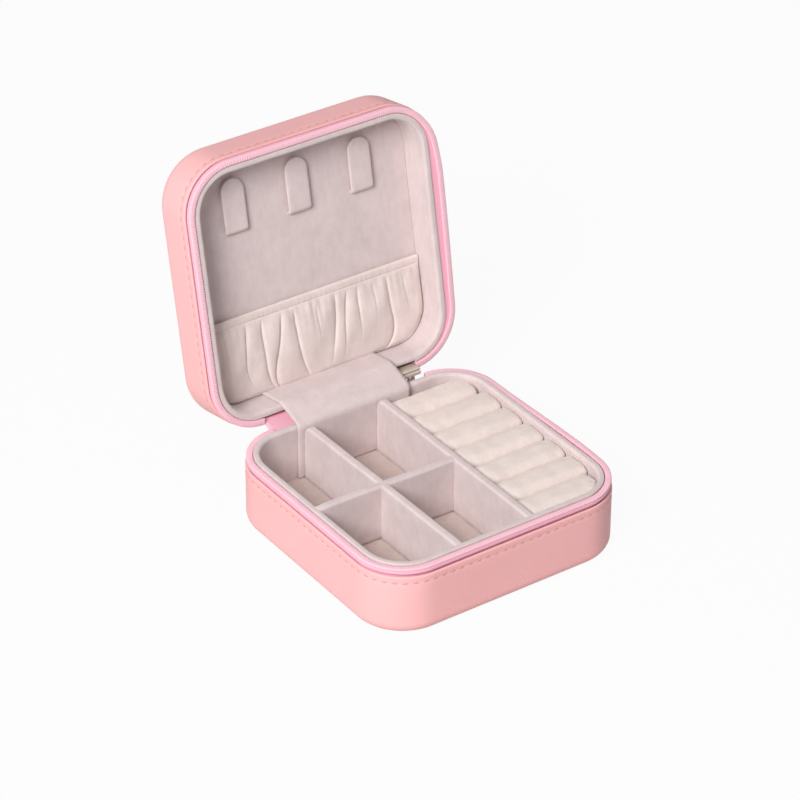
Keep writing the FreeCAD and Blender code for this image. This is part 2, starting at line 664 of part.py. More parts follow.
def ribbon(points, radii, thickness):
    """Outline of a strip in the YZ plane: straight runs joined by tangent arcs, of even thickness."""
    runs = [(b - a).normalize() for a, b in zip(points[:-1], points[1:])]
    sides = []
    for offset in (thickness / 2, -thickness / 2):
        stops = [points[0] + V(0, -runs[0].z, runs[0].y) * offset]
        arcs = []
        for corner, before, after, radius in zip(points[1:-1], runs[:-1], runs[1:], radii):
            turn = math.atan2(before.y * after.z - before.z * after.y, before.dot(after))
            reach = radius * math.tan(abs(turn) / 2)
            hand = math.copysign(1, turn)
            centre = corner - before * reach + V(0, -before.z, before.y) * (hand * radius)
            spoke = (corner - centre).normalize()
            start = corner - before * reach + V(0, -before.z, before.y) * offset
            end = corner + after * reach + V(0, -after.z, after.y) * offset
            arcs.append(Part.Arc(start, centre + spoke * (radius - hand * offset), end).toShape())
            stops += [start, end]
        stops.append(points[-1] + V(0, -runs[-1].z, runs[-1].y) * offset)
        lines = [Part.makeLine(stops[i], stops[i + 1]) for i in range(0, len(stops), 2)]
        sides.append((stops, lines + arcs))
    (left, left_edges), (right, right_edges) = sides
    caps = [Part.makeLine(left[0], right[0]), Part.makeLine(left[-1], right[-1])]
    return Part.Face(Part.Wire(Part.__sortEdges__(left_edges + right_edges + caps)))


def lid_point(y, z):
    """Where a point of the closed lid's frame lies with the lid open."""
    angle = math.radians(size("lid_open"))
    dy, dz = y - size("hinge_y"), z + size("hinge_drop")
    return V(0, size("hinge_y") + dy * math.cos(angle) + dz * math.sin(angle),
             size("hinge_z") - dy * math.sin(angle) + dz * math.cos(angle))


def make_hinge():
    """Leather spine and velvet flap, both bent as they lie with the lid open."""
    layer = size("half_y") - size("tape_inset") - size("tape") / 2
    spine_path = [V(0, layer, size("tape_z")), V(0, layer, size("base_height") + size("spine_rise")),
                  lid_point(layer, size("lid_edge") - size("spine_rise")),
                  lid_point(layer, size("lid_edge") + size("tape_tuck"))]
    bends = [size("spine_bend"), size("spine_bend")]
    spine = ribbon(spine_path, bends, size("tape")).extrude(V(size("spine_width") + size("spine_left"), 0, 0))
    spine.translate(V(-size("spine_width") / 2 - size("spine_left"), 0, 0))
    middle = size("inner_y") - size("flap_gap") - size("flap") / 2
    flap_path = [V(0, middle, size("floor_z") + size("flap_gap")),
                 V(0, middle, size("rim_z") + size("flap_rise")),
                 lid_point(middle, size("lid_rim") + size("flap_gap")),
                 lid_point(middle, size("panel_z") - size("flap_gap"))]
    bends = [size("flap_bend"), size("flap_ease")]
    flap = ribbon(flap_path, bends, size("flap")).extrude(V(size("flap_width"), 0, 0))
    flap.translate(V(-size("flap_width") / 2 - size("flap_x"), 0, 0))
    return [new_feature("hinge_spine", spine), new_feature("hinge_flap", flap)]


# Fittings of the lid
def make_hooks():
    """Bent tabs: each springs from the panel at its lower end, turns up and ends in a round tip."""
    pieces = []
    for number in range(1, HOOK_COUNT + 1):
        body = new_body("necklace_hook_%d" % number)
        side = new_sketch(body, "side", "YZ_Plane", "hook_%d_x" % number)
        draw_polygon(side, [
            (cell("hook_top_y"), cell("hook_front")), (cell("hook_foot_y"), cell("hook_front")),
            (cell("hook_foot_y"), cell("panel_z")), (cell("hook_neck_y"), cell("panel_z")),
            (cell("hook_neck_y"), cell("hook_back")), (cell("hook_top_y"), cell("hook_back"))])
        pad(body, side, "tab", "hook_width", symmetric=True)
        fillet(body, "tip", "hook_tip", runs_along("z", size("hook_top_y")))
        inner = runs_along("x", size("hook_neck_y"), size("hook_back"))
        fillet(body, "inner_bend", "hook_bend", inner)
        outer = runs_along("x", size("hook_foot_y"), size("hook_front"))
        fillet(body, "outer_bend", "hook_outer_bend", outer)
        hang_on_lid(body)
        pieces.append(body)
    return pieces


# Valleys of the pocket's main folds, as shares of its half width, at the hem and at the bottom seam
FOLDS_AT_HEM = [-0.63, -0.47, -0.30, -0.20, 0.20, 0.30, 0.42, 0.67]
FOLDS_AT_SEAM = [-0.66, -0.50, -0.43, -0.12, 0.13, 0.24, 0.38, 0.76]


def pocket_section(y, share, back, fold):
    """One row across the pocket: a straight back and a front of arched folds that meet in valleys."""
    half = inner_half(y, "inner_y", "inner_x") - size("pocket_clear")
    valleys = [half * (top + share * (seam - top)) for top, seam in zip(FOLDS_AT_HEM, FOLDS_AT_SEAM)]
    stops = [-half] + valleys + [half]
    front = back - size("pocket")
    widest = max(b - a for a, b in zip(stops[:-1], stops[1:]))
    points = [V(half, y, back), V(-half, y, back)]
    for a, b in zip(stops[:-1], stops[1:]):
        rise = min(fold * math.sqrt((b - a) / widest), 0.4 * (b - a))
        points += [V(a + place * (b - a), y, front - rise * height)
                   for place, height in arch(FOLD_STEPS)[:-1]]
    return Part.makePolygon(points + [V(half, y, front), points[0]])


def make_pocket():
    """Gathered pocket cloth between the hem and the flap at the lid's lower wall."""
    panel, gap = size("panel_z"), size("hem_gap")
    top = size("hem_low_y") + gap
    seam = size("flap_face") - size("flap_gap")
    belly, fold, gather = size("pocket_belly"), size("pocket_fold"), size("pocket_gather")
    # Down the pocket: share of its height, share of the belly, height of the folds
    rows = [(0.0, 0.0, gather), (0.45, 1.0, fold), (1.0, 0.0, gather)]
    sections = []
    for share, swell, height in rows:
        stand = size("hem_stand") * (1 - share) + gap * share
        back = panel - stand - swell * belly
        sections.append(pocket_section(top + share * (seam - top), share, back, height))
    cloth = new_feature("pocket", Part.makeLoft(sections, True, True))
    hang_on_lid(cloth)
    return cloth


def make_hem():
    """The pocket's hem, a flat casing with a tunnel, and the elastic that lies in the tunnel."""
    hem = new_body("pocket_hem")
    outside = new_sketch(hem, "outside", "YZ_Plane")
    draw_rectangle(outside, cell("hem_top"), cell("hem_low_y"), cell("hem_front"), cell("hem_back"))
    pad(hem, outside, "casing", "hem_length", symmetric=True)
    fillet(hem, "round", "hem_round", lambda edge: edge.BoundBox.XLength > size("hem_length") / 2)
    tunnel = new_sketch(hem, "tunnel", "YZ_Plane")
    draw_rectangle(tunnel, cell("tunnel_top_y"), cell("tunnel_low_y"),
                   cell("tunnel_front"), cell("tunnel_back"))
    pocket(hem, tunnel, "tunnel", symmetric=True)
    elastic = new_body("pocket_elastic")
    strip = new_sketch(elastic, "strip", "YZ_Plane")
    draw_rectangle(strip, cell("elastic_top_y"), cell("elastic_low_y"),
                   cell("elastic_front"), cell("elastic_back"))
    pad(elastic, strip, "strip", "hem_length", symmetric=True)
    hang_on_lid(hem)
    hang_on_lid(elastic)
    return [hem, elastic]


# Slider and pull, drawn with X along the zip, Y out of the case and Z across the zip
def make_slider():
    """Two plates joined by a post at the nose, with flanges, and a bail over the outer plate."""
    body = new_body("zip_slider")
    outline = new_sketch(body, "outline", "XZ_Plane")
    nose, half, tail = cell("slider_length", 0.5), cell("slider_width", 0.5), cell("slider_tail", 0.5)
    minus = [cell("slider_length", -0.5), cell("slider_width", -0.5), cell("slider_tail", -0.5)]
    waist = cell("slider_length", -0.1)
    draw_polygon(outline, [(minus[0], minus[2]), (waist, minus[1]), (nose, minus[1]),
                           (nose, half), (waist, half), (minus[0], tail)])
    pad(body, outline, "block", "slider_thickness", symmetric=True)
    channel = new_sketch(body, "channel", "YZ_Plane")
    deep, shallow = cell("slider_channel", 0.5), cell("slider_slot", 0.5)
    deep_minus, shallow_minus = cell("slider_channel", -0.5), cell("slider_slot", -0.5)
    inside = (size("slider_width") / 2 - size("slider_flange"),
              ref("slider_width") + " / 2 - " + ref("slider_flange"))
    inside_minus = (-inside[0], ref("slider_flange") + " - " + ref("slider_width") + " / 2")
    out, out_minus = cell("slider_width", 1), cell("slider_width", -1)
    draw_polygon(channel, [(deep_minus, inside_minus), (shallow_minus, inside_minus),
                           (shallow_minus, out_minus), (shallow, out_minus), (shallow, inside_minus), (deep, inside_minus),
                           (deep, inside), (shallow, inside), (shallow, out),
                           (shallow_minus, out), (shallow_minus, inside), (deep_minus, inside)])
    pocket(body, channel, "channel", symmetric=True)
    post = new_sketch(body, "post", "XZ_Plane")
    point = cell("slider_length", 0.5)
    back = (size("slider_length") / 2 - 1.5 * size("slider_post"),
            ref("slider_length") + " / 2 - 1.5 * " + ref("slider_post"))
    middle = (size("slider_length") / 2 - 0.5 * size("slider_post"),
              ref("slider_length") + " / 2 - 0.5 * " + ref("slider_post"))
    axis = (0.0, "0 * " + ref("slider_post"))
    draw_polygon(post, [(back, axis), (middle, cell("slider_post", -0.5)), (point, cell("slider_post", -0.5)),
                        (point, cell("slider_post", 0.5)), (middle, cell("slider_post", 0.5))])
    pad(body, post, "post", "slider_thickness", symmetric=True)
    bail = new_sketch(body, "bail", "XY_Plane")
    foot = (size("slider_face") - size("slider_plate") / 2,
            ref("slider_face") + " - " + ref("slider_plate") + " / 2")
    under = (size("slider_face") + size("bail_window"), ref("slider_face") + " + " + ref("bail_window"))
    top = (under[0] + size("bail_bar"), under[1] + " + " + ref("bail_bar"))
    reach, reach_minus = cell("bail_length", 0.5), cell("bail_length", -0.5)
    leg = (size("bail_length") / 2 - size("bail_bar"), ref("bail_length") + " / 2 - " + ref("bail_bar"))
    leg_minus = (-leg[0], ref("bail_bar") + " - " + ref("bail_length") + " / 2")
    draw_polygon(bail, [(reach_minus, foot), (leg_minus, foot), (leg_minus, under), (leg, under), (leg, foot),
                        (reach, foot), (reach, top), (reach_minus, top)])
    pad(body, bail, "bail", "bail_width", symmetric=True)
    hang(body, "lid_open", "slider_rest_y", "slider_rest_z", "slider_x")
    return body


def make_zip_end():
    """The last stretch of both tapes, sewn together and held between the slider's plates."""
    body = new_body("zip_end_tape")
    face = new_sketch(body, "face", "XZ_Plane")
    end = (size("slider_length") / 2 - 2 * size("slider_post"),
           ref("slider_length") + " / 2 - 2 * " + ref("slider_post"))
    start = (-size("slider_length") / 2 - size("tape_end"),
             "-%s / 2 - %s" % (ref("slider_length"), ref("tape_end")))
    draw_rectangle(face, start, end, cell("slider_width", -0.5), cell("slider_width", 0.5))
    pad(body, face, "tape", "tape", symmetric=True)
    hang(body, "lid_open", "slider_rest_y", "slider_rest_z", "slider_x")
    return body


def make_pull():
    """Flat metal tab with an eye, a waist and a rounded end, and a round pin across the eye's open end."""
    body = new_body("zip_pull")
    tab = new_sketch(body, "tab", "YZ_Plane")
    pin, eye_end = (0.0, "0 * " + ref("pull")), cell("pull_eye")
    tip, neck, waist = cell("pull_length"), cell("pull_eye", 1.3), cell("pull_length", 0.55)
    side, side_minus = cell("pull_width", 0.5), cell("pull_width", -0.5)
    slim, slim_minus = cell("pull_waist", 0.5), cell("pull_waist", -0.5)
    arm = (size("pull_width") / 2 - size("pull_arm"), ref("pull_width") + " / 2 - " + ref("pull_arm"))
    arm_minus = (-arm[0], ref("pull_arm") + " - " + ref("pull_width") + " / 2")
    draw_polygon(tab, [(pin, side_minus), (neck, side_minus), (waist, slim_minus), (tip, side_minus),
                       (tip, side), (waist, slim), (neck, side),
                       (pin, side), (pin, arm), (eye_end, arm), (eye_end, arm_minus), (pin, arm_minus)])
    pad(body, tab, "plate", "pull", symmetric=True)
    far = size("pull_length")
    fillet(body, "tip", "pull_arm",
           lambda edge: edge.BoundBox.YMin > far - 1e-3 and edge.BoundBox.ZLength < 1e-3)
    bar = new_sketch(body, "pin", "XY_Plane")
    bar.addGeometry(Part.Circle(V(0, 0, 0), V(0, 0, 1), size("pull") / 2))
    bar.addConstraint(Sketcher.Constraint("Coincident", 0, 3, -1, 1))
    bind(bar, Sketcher.Constraint("Diameter", 0, size("pull")), "pin", ref("pull"))
    pad(body, bar, "pin", "pull_width", symmetric=True)
    hang(body, "pull_hang", "pull_rest_y", "pull_rest_z", "slider_x")
    return body


def make_all():
    """Build every piece in the order in which the case is put together."""
    pieces = make_covers() + make_boards() + make_sheets() + make_linings() + make_zip_halves()
    pieces += make_dividers() + make_rolls() + make_hinge() + make_hooks() + make_hem()
    return pieces + [make_pocket(), make_slider(), make_zip_end(), make_pull()]


def write_parts(pieces):
    """Check every object and every shape, then write one file a piece."""
    doc.recompute()
    for item in doc.Objects:
        if "Invalid" in item.State or "Error" in item.State:
            raise RuntimeError("%s failed: %s" % (item.Label, item.State))
    for piece in pieces:
        if piece.Shape.isNull() or not piece.Shape.isValid() or not piece.Shape.Solids:
            raise RuntimeError(piece.Label + " has no valid solid")
    os.makedirs("parts", exist_ok=True)
    for piece in pieces:
        piece.Shape.exportStep("parts/%s.step" % piece.Label)
        print("%-18s %2d solid %9.1f mm3" % (piece.Label, len(piece.Shape.Solids), piece.Shape.Volume))


fill_sheets()
write_parts(make_all())
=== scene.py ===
import json
import math

import bpy
import numpy as np
from bpy.props import FloatProperty, FloatVectorProperty, PointerProperty
from bpy.types import Operator, Panel, PropertyGroup
from mathutils import Matrix, Vector


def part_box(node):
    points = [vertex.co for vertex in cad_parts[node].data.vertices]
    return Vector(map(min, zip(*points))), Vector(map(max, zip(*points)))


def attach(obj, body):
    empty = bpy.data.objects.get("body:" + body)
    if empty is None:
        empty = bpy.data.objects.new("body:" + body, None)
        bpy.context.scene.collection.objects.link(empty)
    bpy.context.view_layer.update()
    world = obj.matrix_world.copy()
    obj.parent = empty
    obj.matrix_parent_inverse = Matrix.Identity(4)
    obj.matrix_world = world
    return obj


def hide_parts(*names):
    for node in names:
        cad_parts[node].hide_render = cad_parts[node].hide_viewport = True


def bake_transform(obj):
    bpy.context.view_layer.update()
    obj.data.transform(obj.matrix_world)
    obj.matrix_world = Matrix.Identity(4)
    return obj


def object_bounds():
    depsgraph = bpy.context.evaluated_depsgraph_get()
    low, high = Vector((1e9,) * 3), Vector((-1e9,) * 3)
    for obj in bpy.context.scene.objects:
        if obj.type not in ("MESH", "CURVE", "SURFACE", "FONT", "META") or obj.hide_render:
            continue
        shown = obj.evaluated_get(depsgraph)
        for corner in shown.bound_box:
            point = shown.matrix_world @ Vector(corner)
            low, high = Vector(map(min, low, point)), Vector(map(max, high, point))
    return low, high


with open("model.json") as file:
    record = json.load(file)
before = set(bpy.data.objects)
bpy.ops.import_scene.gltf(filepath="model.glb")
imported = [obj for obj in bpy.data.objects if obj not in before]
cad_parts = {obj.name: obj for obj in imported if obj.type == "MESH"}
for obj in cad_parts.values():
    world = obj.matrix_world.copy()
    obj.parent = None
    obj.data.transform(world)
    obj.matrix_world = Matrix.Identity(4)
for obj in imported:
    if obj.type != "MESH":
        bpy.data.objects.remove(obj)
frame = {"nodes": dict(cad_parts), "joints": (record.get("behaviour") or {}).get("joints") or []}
CAD_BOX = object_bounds()

bl_info = {
    "name": "Jewellery Case Looks",
    "version": (1, 0, 0),
    "blender": (4, 5, 0),
    "location": "3D View > Sidebar > Case",
    "description": "Dresses the frame of a small zipped jewellery case in leather, velvet and zip",
    "category": "Object",
}

MM = 0.001
FULL_TURN = 2 * math.pi
WHITE = (1.0, 1.0, 1.0, 1.0)
SENSOR_WIDTH = 36.0
HINGE = next(joint for joint in frame["joints"] if joint["name"] == "lid_hinge")
HINGE_Y, HINGE_Z = HINGE["pos_m"][1:]
LID_OPEN = math.radians(HINGE["range_deg"][1])

# How far in from the leather's outside the zip's tapes end
TAPE_INNER = 2.7 * MM
# Hooks and ring rolls, the rolls that swell as cloth, and the one whose mesh serves for the others
HOOK_COUNT = 3
ROLL_COUNT = 7
SWOLLEN_ROLLS = (1, 2, 7)
ROLL_PATTERN = "ring_roll_2"
# How much larger a pad is than itself while it swells, the size of its mesh then, the pressure and the frames
SWELL_SCALE = 10.0
SWELL_VOXEL = 0.007
SWELL_PRESSURE = 4.0
SWELL_FRAMES = 20
# Creases of the pocket: place at the hem and at the bottom seam, as shares of the pocket's half width, how
# far down from the hem it stays sharp, as a share of the pocket's height, and its depth as a share of the
# deepest
CREASES = (
    (-0.84, -0.80, 0.45, 0.5),
    (-0.63, -0.66, 0.65, 0.8),
    (-0.47, -0.50, 0.95, 1.0),
    (-0.30, -0.44, 1.00, 1.0),
    (-0.20, -0.12, 0.90, 1.0),
    (0.03, 0.01, 0.35, 0.5),
    (0.20, 0.13, 0.70, 0.9),
    (0.30, 0.24, 0.60, 0.9),
    (0.42, 0.38, 0.45, 0.8),
    (0.54, 0.55, 0.30, 0.5),
    (0.67, 0.76, 1.00, 1.0),
    (0.84, 0.86, 0.35, 0.5))


def length(name, description, millimetres):
    return FloatProperty(
        name=name, description=description, default=millimetres * MM,
        min=0.0, precision=5, unit="LENGTH")


def share(name, description, value):
    return FloatProperty(
        name=name, description=description, default=value, min=0.0, max=1.0, subtype="FACTOR")


def angle(name, description, degrees):
    return FloatProperty(
        name=name, description=description, default=math.radians(degrees), unit="ROTATION")


def colour(name, description, red, green, blue):
    """A colour property from a screen colour of 0 to 255, kept as the linear value that shaders use."""
    screen = np.array([red, green, blue]) / 255
    linear = np.where(screen <= 0.04045, screen / 12.92, ((screen + 0.055) / 1.055) ** 2.4)
    return FloatVectorProperty(
        name=name, description=description, default=tuple(linear), min=0.0, max=1.0, subtype="COLOR")


class CaseSizes(PropertyGroup):
    corner_radius: length("Corner radius", "Round of the case's four corners, seen from above", 18.4)
    base_round: length("Base edge", "Round of the base's lower edge", 4.1)
    lid_round: length("Lid edge", "Round of the lid's upper edge", 4.9)
    leather: length("Leather", "Thickness of the leather skin", 1.0)
    stitch_pitch: length("Stitch pitch", "From one stitch to the next", 3.5)
    stitch_length: length("Stitch length", "Length of thread that shows in a stitch", 2.4)
    stitch_width: length("Thread", "Thickness of the sewing thread", 0.5)
    stitch_drop: length("Stitch line", "From the leather's edge to the stitch line", 2.5)
    coil_pitch: length("Coil pitch", "From one turn of the zip's coil to the next", 0.9)
    coil_rib: length("Coil rib", "How far a turn of the coil stands out", 0.06)
    tape: length("Zip tape", "Thickness of the zip's tape", 0.35)
    base_lean: length("Base zip lean", "How far the base's zip leans out near its front right corner", 1.1)
    lid_lean: length("Lid zip lean", "How far the lid's zip leans out along the right side", 2.2)
    slider: length("Slider", "Thickness of the zip's slider without its bail", 3.6)
    slider_thin: length("Slider step", "How far the slider's inner plate lies below its node", 1.1)
    lining: length("Lining", "Thickness of the velvet walls", 1.8)
    velvet: length("Velvet", "Thickness of the hinge cover", 0.8)
    skew: length("Divider skew", "How far a divider's ends stand out of line", 0.6)
    divider_sunk: length("Divider sunk", "How far a divider's end is sunk in the wall's velvet", 1.0)
    divider_corner: length("Divider corner", "Round of a long divider's top corner at the back", 2.5)
    roll_end: length("Roll end", "Length of a ring roll's round end", 2.8)
    roll_drop: length("Roll end drop", "How far a ring roll's end falls below its crest", 0.8)
    roll_crown: length("Roll crown", "Height of a ring roll's round top", 3.4)
    roll_cap: length("Roll swell", "How far a ring roll's cloth may swell", 0.25)
    crease_depth: length("Crease depth", "Depth of the pocket's deepest creases", 1.25)
    crease_width: length("Crease width", "Distance over which a crease levels out", 0.8)
    pocket_belly: length("Pocket belly", "How far the pocket hangs out in its middle", 1.5)


class CaseColours(PropertyGroup):
    leather: colour("Leather", "Pink leather of base and lid", 255, 187, 187)
    thread: colour("Thread", "Sewing thread of the leather's edge", 230, 148, 151)
    zip_tape: colour("Zip tape", "Woven tape of the zip", 254, 184, 203)
    zip_coil: colour("Zip coil", "Nylon coil of the zip", 252, 200, 213)
    zip_metal: colour("Zip metal", "Slider and pull", 216, 204, 192)
    velvet: colour("Velvet", "Lining, dividers, hooks and hinge cover", 220, 204, 203)
    # A darker, browner copy of the lining's velvet: painted shade of the deep compartments' floors
    shaded_floor_velvet: colour("Floor velvet", "Velvet of the compartments' floors", 215, 197, 190)
    roll_velvet: colour("Roll velvet", "Cream velvet of the ring rolls", 238, 223, 216)
    pocket_cloth: colour("Pocket cloth", "Gathered cloth of the lid's pocket", 232, 215, 211)
    greyboard: colour("Greyboard", "Stiff board inside the walls", 150, 144, 136)
    foam: colour("Foam", "Padding under the lid's leather", 236, 232, 220)
    elastic: colour("Elastic", "Elastic inside the pocket's hem", 235, 230, 228)


class CaseStage(PropertyGroup):
    azimuth: angle("Camera azimuth", "Way the camera stands round the case", -35.109)
    elevation: angle("Camera elevation", "Height of the camera above the horizon", 32.716)
    roll: angle("Camera roll", "Turn of the camera about its own line of sight", 0.288)
    distance: length("Camera distance", "From the camera to its target", 1205.73)
    target: FloatVectorProperty(
        name="Camera target", description="Point that the camera looks at",
        default=(-0.01485, -0.00462, 0.05984), subtype="TRANSLATION", precision=5)
    lens: FloatProperty(
        name="Lens", description="Focal length on a 36 mm sensor", default=165.4, unit="CAMERA")
    key: FloatProperty(
        name="Key light", description="Power of the large soft lamp", default=22.0, unit="POWER")
    key_size: length("Key size", "Width of the large soft lamp", 700.0)
    key_place: FloatVectorProperty(
        name="Key place", description="Where the large soft lamp stands, turned to the case",
        default=(-1.0, -0.56, 0.95), subtype="TRANSLATION", precision=5)
    fill: share("Fill light", "Strength of the light from all round", 0.31)
    floor: colour("Floor", "Pale floor under the case", 206, 205, 204)


# Frame of the closed lid


def turned(points, angle_up):
    """Points turned up about the hinge line by an angle, y and z by the usual sine and cosine of it."""
    y, z = points[..., 1] - HINGE_Y, points[..., 2] - HINGE_Z
    cosine, sine = math.cos(angle_up), math.sin(angle_up)
    turned_y = HINGE_Y + y * cosine + z * sine
    turned_z = HINGE_Z - y * sine + z * cosine
    return np.stack([points[..., 0], turned_y, turned_z], axis=-1)


def opened(points):
    """Points of the closed lid, brought to where it stands open."""
    return turned(points, LID_OPEN)


def points_of(mesh):
    """Points of a mesh, as rows of x, y and z."""
    points = np.empty(len(mesh.vertices) * 3)
    mesh.vertices.foreach_get("co", points)
    return points.reshape(-1, 3)


def shut_box(node):
    """Lowest and highest corner of a lid node, as it lies when the lid is shut."""
    points = turned(points_of(frame["nodes"][node].data), -LID_OPEN)
    return points.min(axis=0), points.max(axis=0)


def node_box(node):
    """Lowest and highest corner of a node where it stands."""
    low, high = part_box(node)
    return np.array(low), np.array(high)


# Surfaces


def run_of(points, closed):
    """Distance walked along a row of points, in millimetres, and back to the first one if it is closed."""
    if closed:
        points = np.concatenate([points, points[:1]])
    steps = np.linalg.norm(np.diff(points, axis=0), axis=1)
    return np.concatenate([[0.0], np.cumsum(steps)]) / MM


def add_object(name, data):
    """A new object at the scene's origin."""
    made = bpy.data.objects.new(name, data)
    bpy.context.scene.collection.objects.link(made)
    return made


def surface(name, grid, wrap_rows=False, wrap_columns=False, caps="", place=None):
    """Mesh object from a grid of points, or from many like grids at once, as smooth quads.

    A quad joins row i and i + 1 with column j and j + 1, and faces the side from which the rows run to the
    right and the columns run up. caps closes the first and last "rows" or "columns" with one face each. The
    UV map holds millimetres walked along the rows and columns. place moves the points at the end.
    """
    grids = grid.reshape((-1,) + grid.shape[-3:])
    count, rows, columns = grids.shape[:3]
    quad_rows, quad_columns = rows - (not wrap_rows), columns - (not wrap_columns)
    i, j = np.meshgrid(np.arange(quad_rows), np.arange(quad_columns), indexing="ij")
    i, j = i.ravel(), j.ravel()
    row = np.stack([i, i + 1, i + 1, i], axis=1)
    column = np.stack([j, j, j + 1, j + 1], axis=1)
    quads = (row % rows) * columns + column % columns
    along = run_of(grids[0, :, columns // 2], wrap_rows)
    across = run_of(grids[0, rows // 2], wrap_columns)
    uv = [np.stack([along[row], across[column]], axis=-1).reshape(-1, 2)]
    first = grids[0].reshape(-1, 3)
    rings = {
        "": [],
        "rows": [np.arange(columns), (rows - 1) * columns + np.arange(columns)[::-1]],
        "columns": [(np.arange(rows) * columns)[::-1], np.arange(rows) * columns + columns - 1],
    }[caps]
    for ring in rings:
        spread = np.ptp(first[ring], axis=0)
        uv.append(np.delete(first[ring], spread.argmin(), axis=1) / MM)
    faces = []
    for start in range(0, count * rows * columns, rows * columns):
        faces += (quads + start).tolist() + [(ring + start).tolist() for ring in rings]
    points = grids.reshape(-1, 3)
    if place is not None:
        points = place(points)
    mesh = bpy.data.meshes.new(name)
    mesh.from_pydata(points.tolist(), [], faces)
    layer = mesh.uv_layers.new(name="walk")
    layer.data.foreach_set("uv", np.tile(np.concatenate(uv), (count, 1)).ravel())
    mesh.shade_smooth()
    return add_object(name, mesh)


class Plan:
    """Outline of the case from above: a rectangle with round corners, walked from the middle of the back
    by the left, front and right. A point of it is a corner's centre, which slides along the straight
    stretches, plus the radius times a direction, which turns along the round ones.
    """

    def __init__(self, half_x, half_y, radius):
        flat_x, flat_y, quarter = half_x - radius, half_y - radius, math.pi / 2 * radius
        self.radius = radius
        steps = [0, flat_x, quarter, 2 * flat_y, quarter, 2 * flat_x, quarter, 2 * flat_y, quarter, flat_x]
        self.marks = np.cumsum(steps)
        self.length = self.marks[-1]
        self.turns = np.radians([90, 90, 180, 180, 270, 270, 360, 360, 450, 450])
        self.centre_x = flat_x * np.array([0, -1, -1, -1, -1, 1, 1, 1, 1, 0])
        self.centre_y = flat_y * np.array([1, 1, 1, -1, -1, -1, -1, 1, 1, 1])

    def at(self, way, inset, height):
        """Points at a distance along the outline, inset from it, at a height; the three arrays broadcast."""
        way = np.mod(way, self.length)
        turn = np.interp(way, self.marks, self.turns)
        reach = self.radius - inset
        x = np.interp(way, self.marks, self.centre_x) + reach * np.cos(turn)
        y = np.interp(way, self.marks, self.centre_y) + reach * np.sin(turn)
        return np.stack(np.broadcast_arrays(x, y, height), axis=-1)

    def all_round(self, step):
        """Distances all round, about a step apart."""
        return np.arange(0, self.length - step / 2, self.length / round(self.length / step))

    def back_to_back(self, left, right, step):
        """Distances from one place on the back, by the front, to another place on the back."""
        return np.linspace(-left, self.length - right, round(self.length / step))

    def sweep(self, profile, way, out):
        """A profile of insets and heights, carried along the outline and pushed out by a distance."""
        return self.at(way[:, None], profile[None, :, 0] - out, profile[None, :, 1])

    def corner_reach(self, past, inset):
        """How far a corner's wall at that inset reaches, for a point so far past the corner's centre: the
        other side of a right triangle whose longest side is the radius."""
        radius = self.radius - inset
        return np.sqrt(radius ** 2 - np.clip(past, 0, radius) ** 2)

    def half_width(self, y, inset):
        """Half the width in x between the walls at that inset, where the corners curve in."""
        return self.centre_x.max() + self.corner_reach(np.abs(y) - self.centre_y.max(), inset)

    def half_depth(self, x, inset):
        """Half the depth in y between the walls at that inset, where the corners curve in."""
        return self.centre_y.max() + self.corner_reach(np.abs(x) - self.centre_x.max(), inset)


def sizes():
    return bpy.context.scene.case_sizes


def colours():
    return bpy.context.scene.case_colours


def case_plan():
    """Outline of the case, from the base's leather."""
    half_x, half_y = node_box("base_cover")[1][:2]
    return Plan(half_x, half_y, sizes().corner_radius)


def arc(centre, radius, start, stop, count):
    """Points on an arc from start to stop degrees: centre plus radius times the cosine and sine."""
    turn = np.radians(np.linspace(start, stop, count))
    return np.stack([centre[0] + radius * np.cos(turn), centre[1] + radius * np.sin(turn)], axis=-1)


def line(start, stop, count):
    """Points between two points of a profile, without either end."""
    at = np.linspace(0, 1, count + 2)[1:-1, None]
    return np.array(start) * (1 - at) + np.array(stop) * at


def upside_down(profile, low, high):
    """A profile mirrored in height and walked the other way, so that its outer side stays outside."""
    return np.stack([profile[::-1, 0], low + high - profile[::-1, 1]], axis=-1)


def wobble(at, size, seed):
    """A slow unevenness: a size times the mean of four sines of uneven pitch, with phases from a seed."""
    pitch = np.array([1.0, 1.7, 2.9, 4.3])
    phase = seed * np.array([1.3, 2.1, 3.7, 5.3])
    return size * np.sin(np.asarray(at)[..., None] * pitch + phase).mean(axis=-1)


def superellipse(turn, across_power, up_power):
    """Across and up of a superellipse at some angles: cosine and sine, each to a power and with its sign."""
    cosine, sine = np.cos(turn), np.sin(turn)
    return np.sign(cosine) * np.abs(cosine) ** across_power, np.sign(sine) * np.abs(sine) ** up_power


def rounded_route(points, radii, step):
    """A route of straight runs whose inner corners are arcs: each arc touches both runs, at a distance of
    the radius times the tangent of half the turn from the corner."""
    points = [np.array(point, float) for point in points]
    pieces = [points[0][None]]
    last = points[0]
    for before, corner, after, radius in zip(points, points[1:], points[2:], radii):
        into, away = corner - before, after - corner
        into, away = into / np.linalg.norm(into), away / np.linalg.norm(away)
        turn = math.acos(np.clip(into @ away, -1, 1))
        reach = radius * math.tan(turn / 2)
        start, stop = corner - reach * into, corner + reach * away
        aside = away - (away @ into) * into
        aside = aside / np.linalg.norm(aside)
        swing = np.linspace(0, turn, max(4, round(radius * turn / step)))[:, None]
        pieces.append(line(last, start, max(1, round(np.linalg.norm(start - last) / step))))
        pieces.append(start + radius * (np.sin(swing) * into + (1 - np.cos(swing)) * aside))
        last = stop
    pieces.append(line(last, points[-1], max(1, round(np.linalg.norm(points[-1] - last) / step))))
    pieces.append(points[-1][None])
    return np.concatenate(pieces)


def dress(piece, body, finish, replaced=()):
    """Give a new piece its finish and its place in the frame."""
    piece.data.materials.append(finish)
    if body:
        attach(piece, body)
    if replaced:
        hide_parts(*replaced)
    return piece


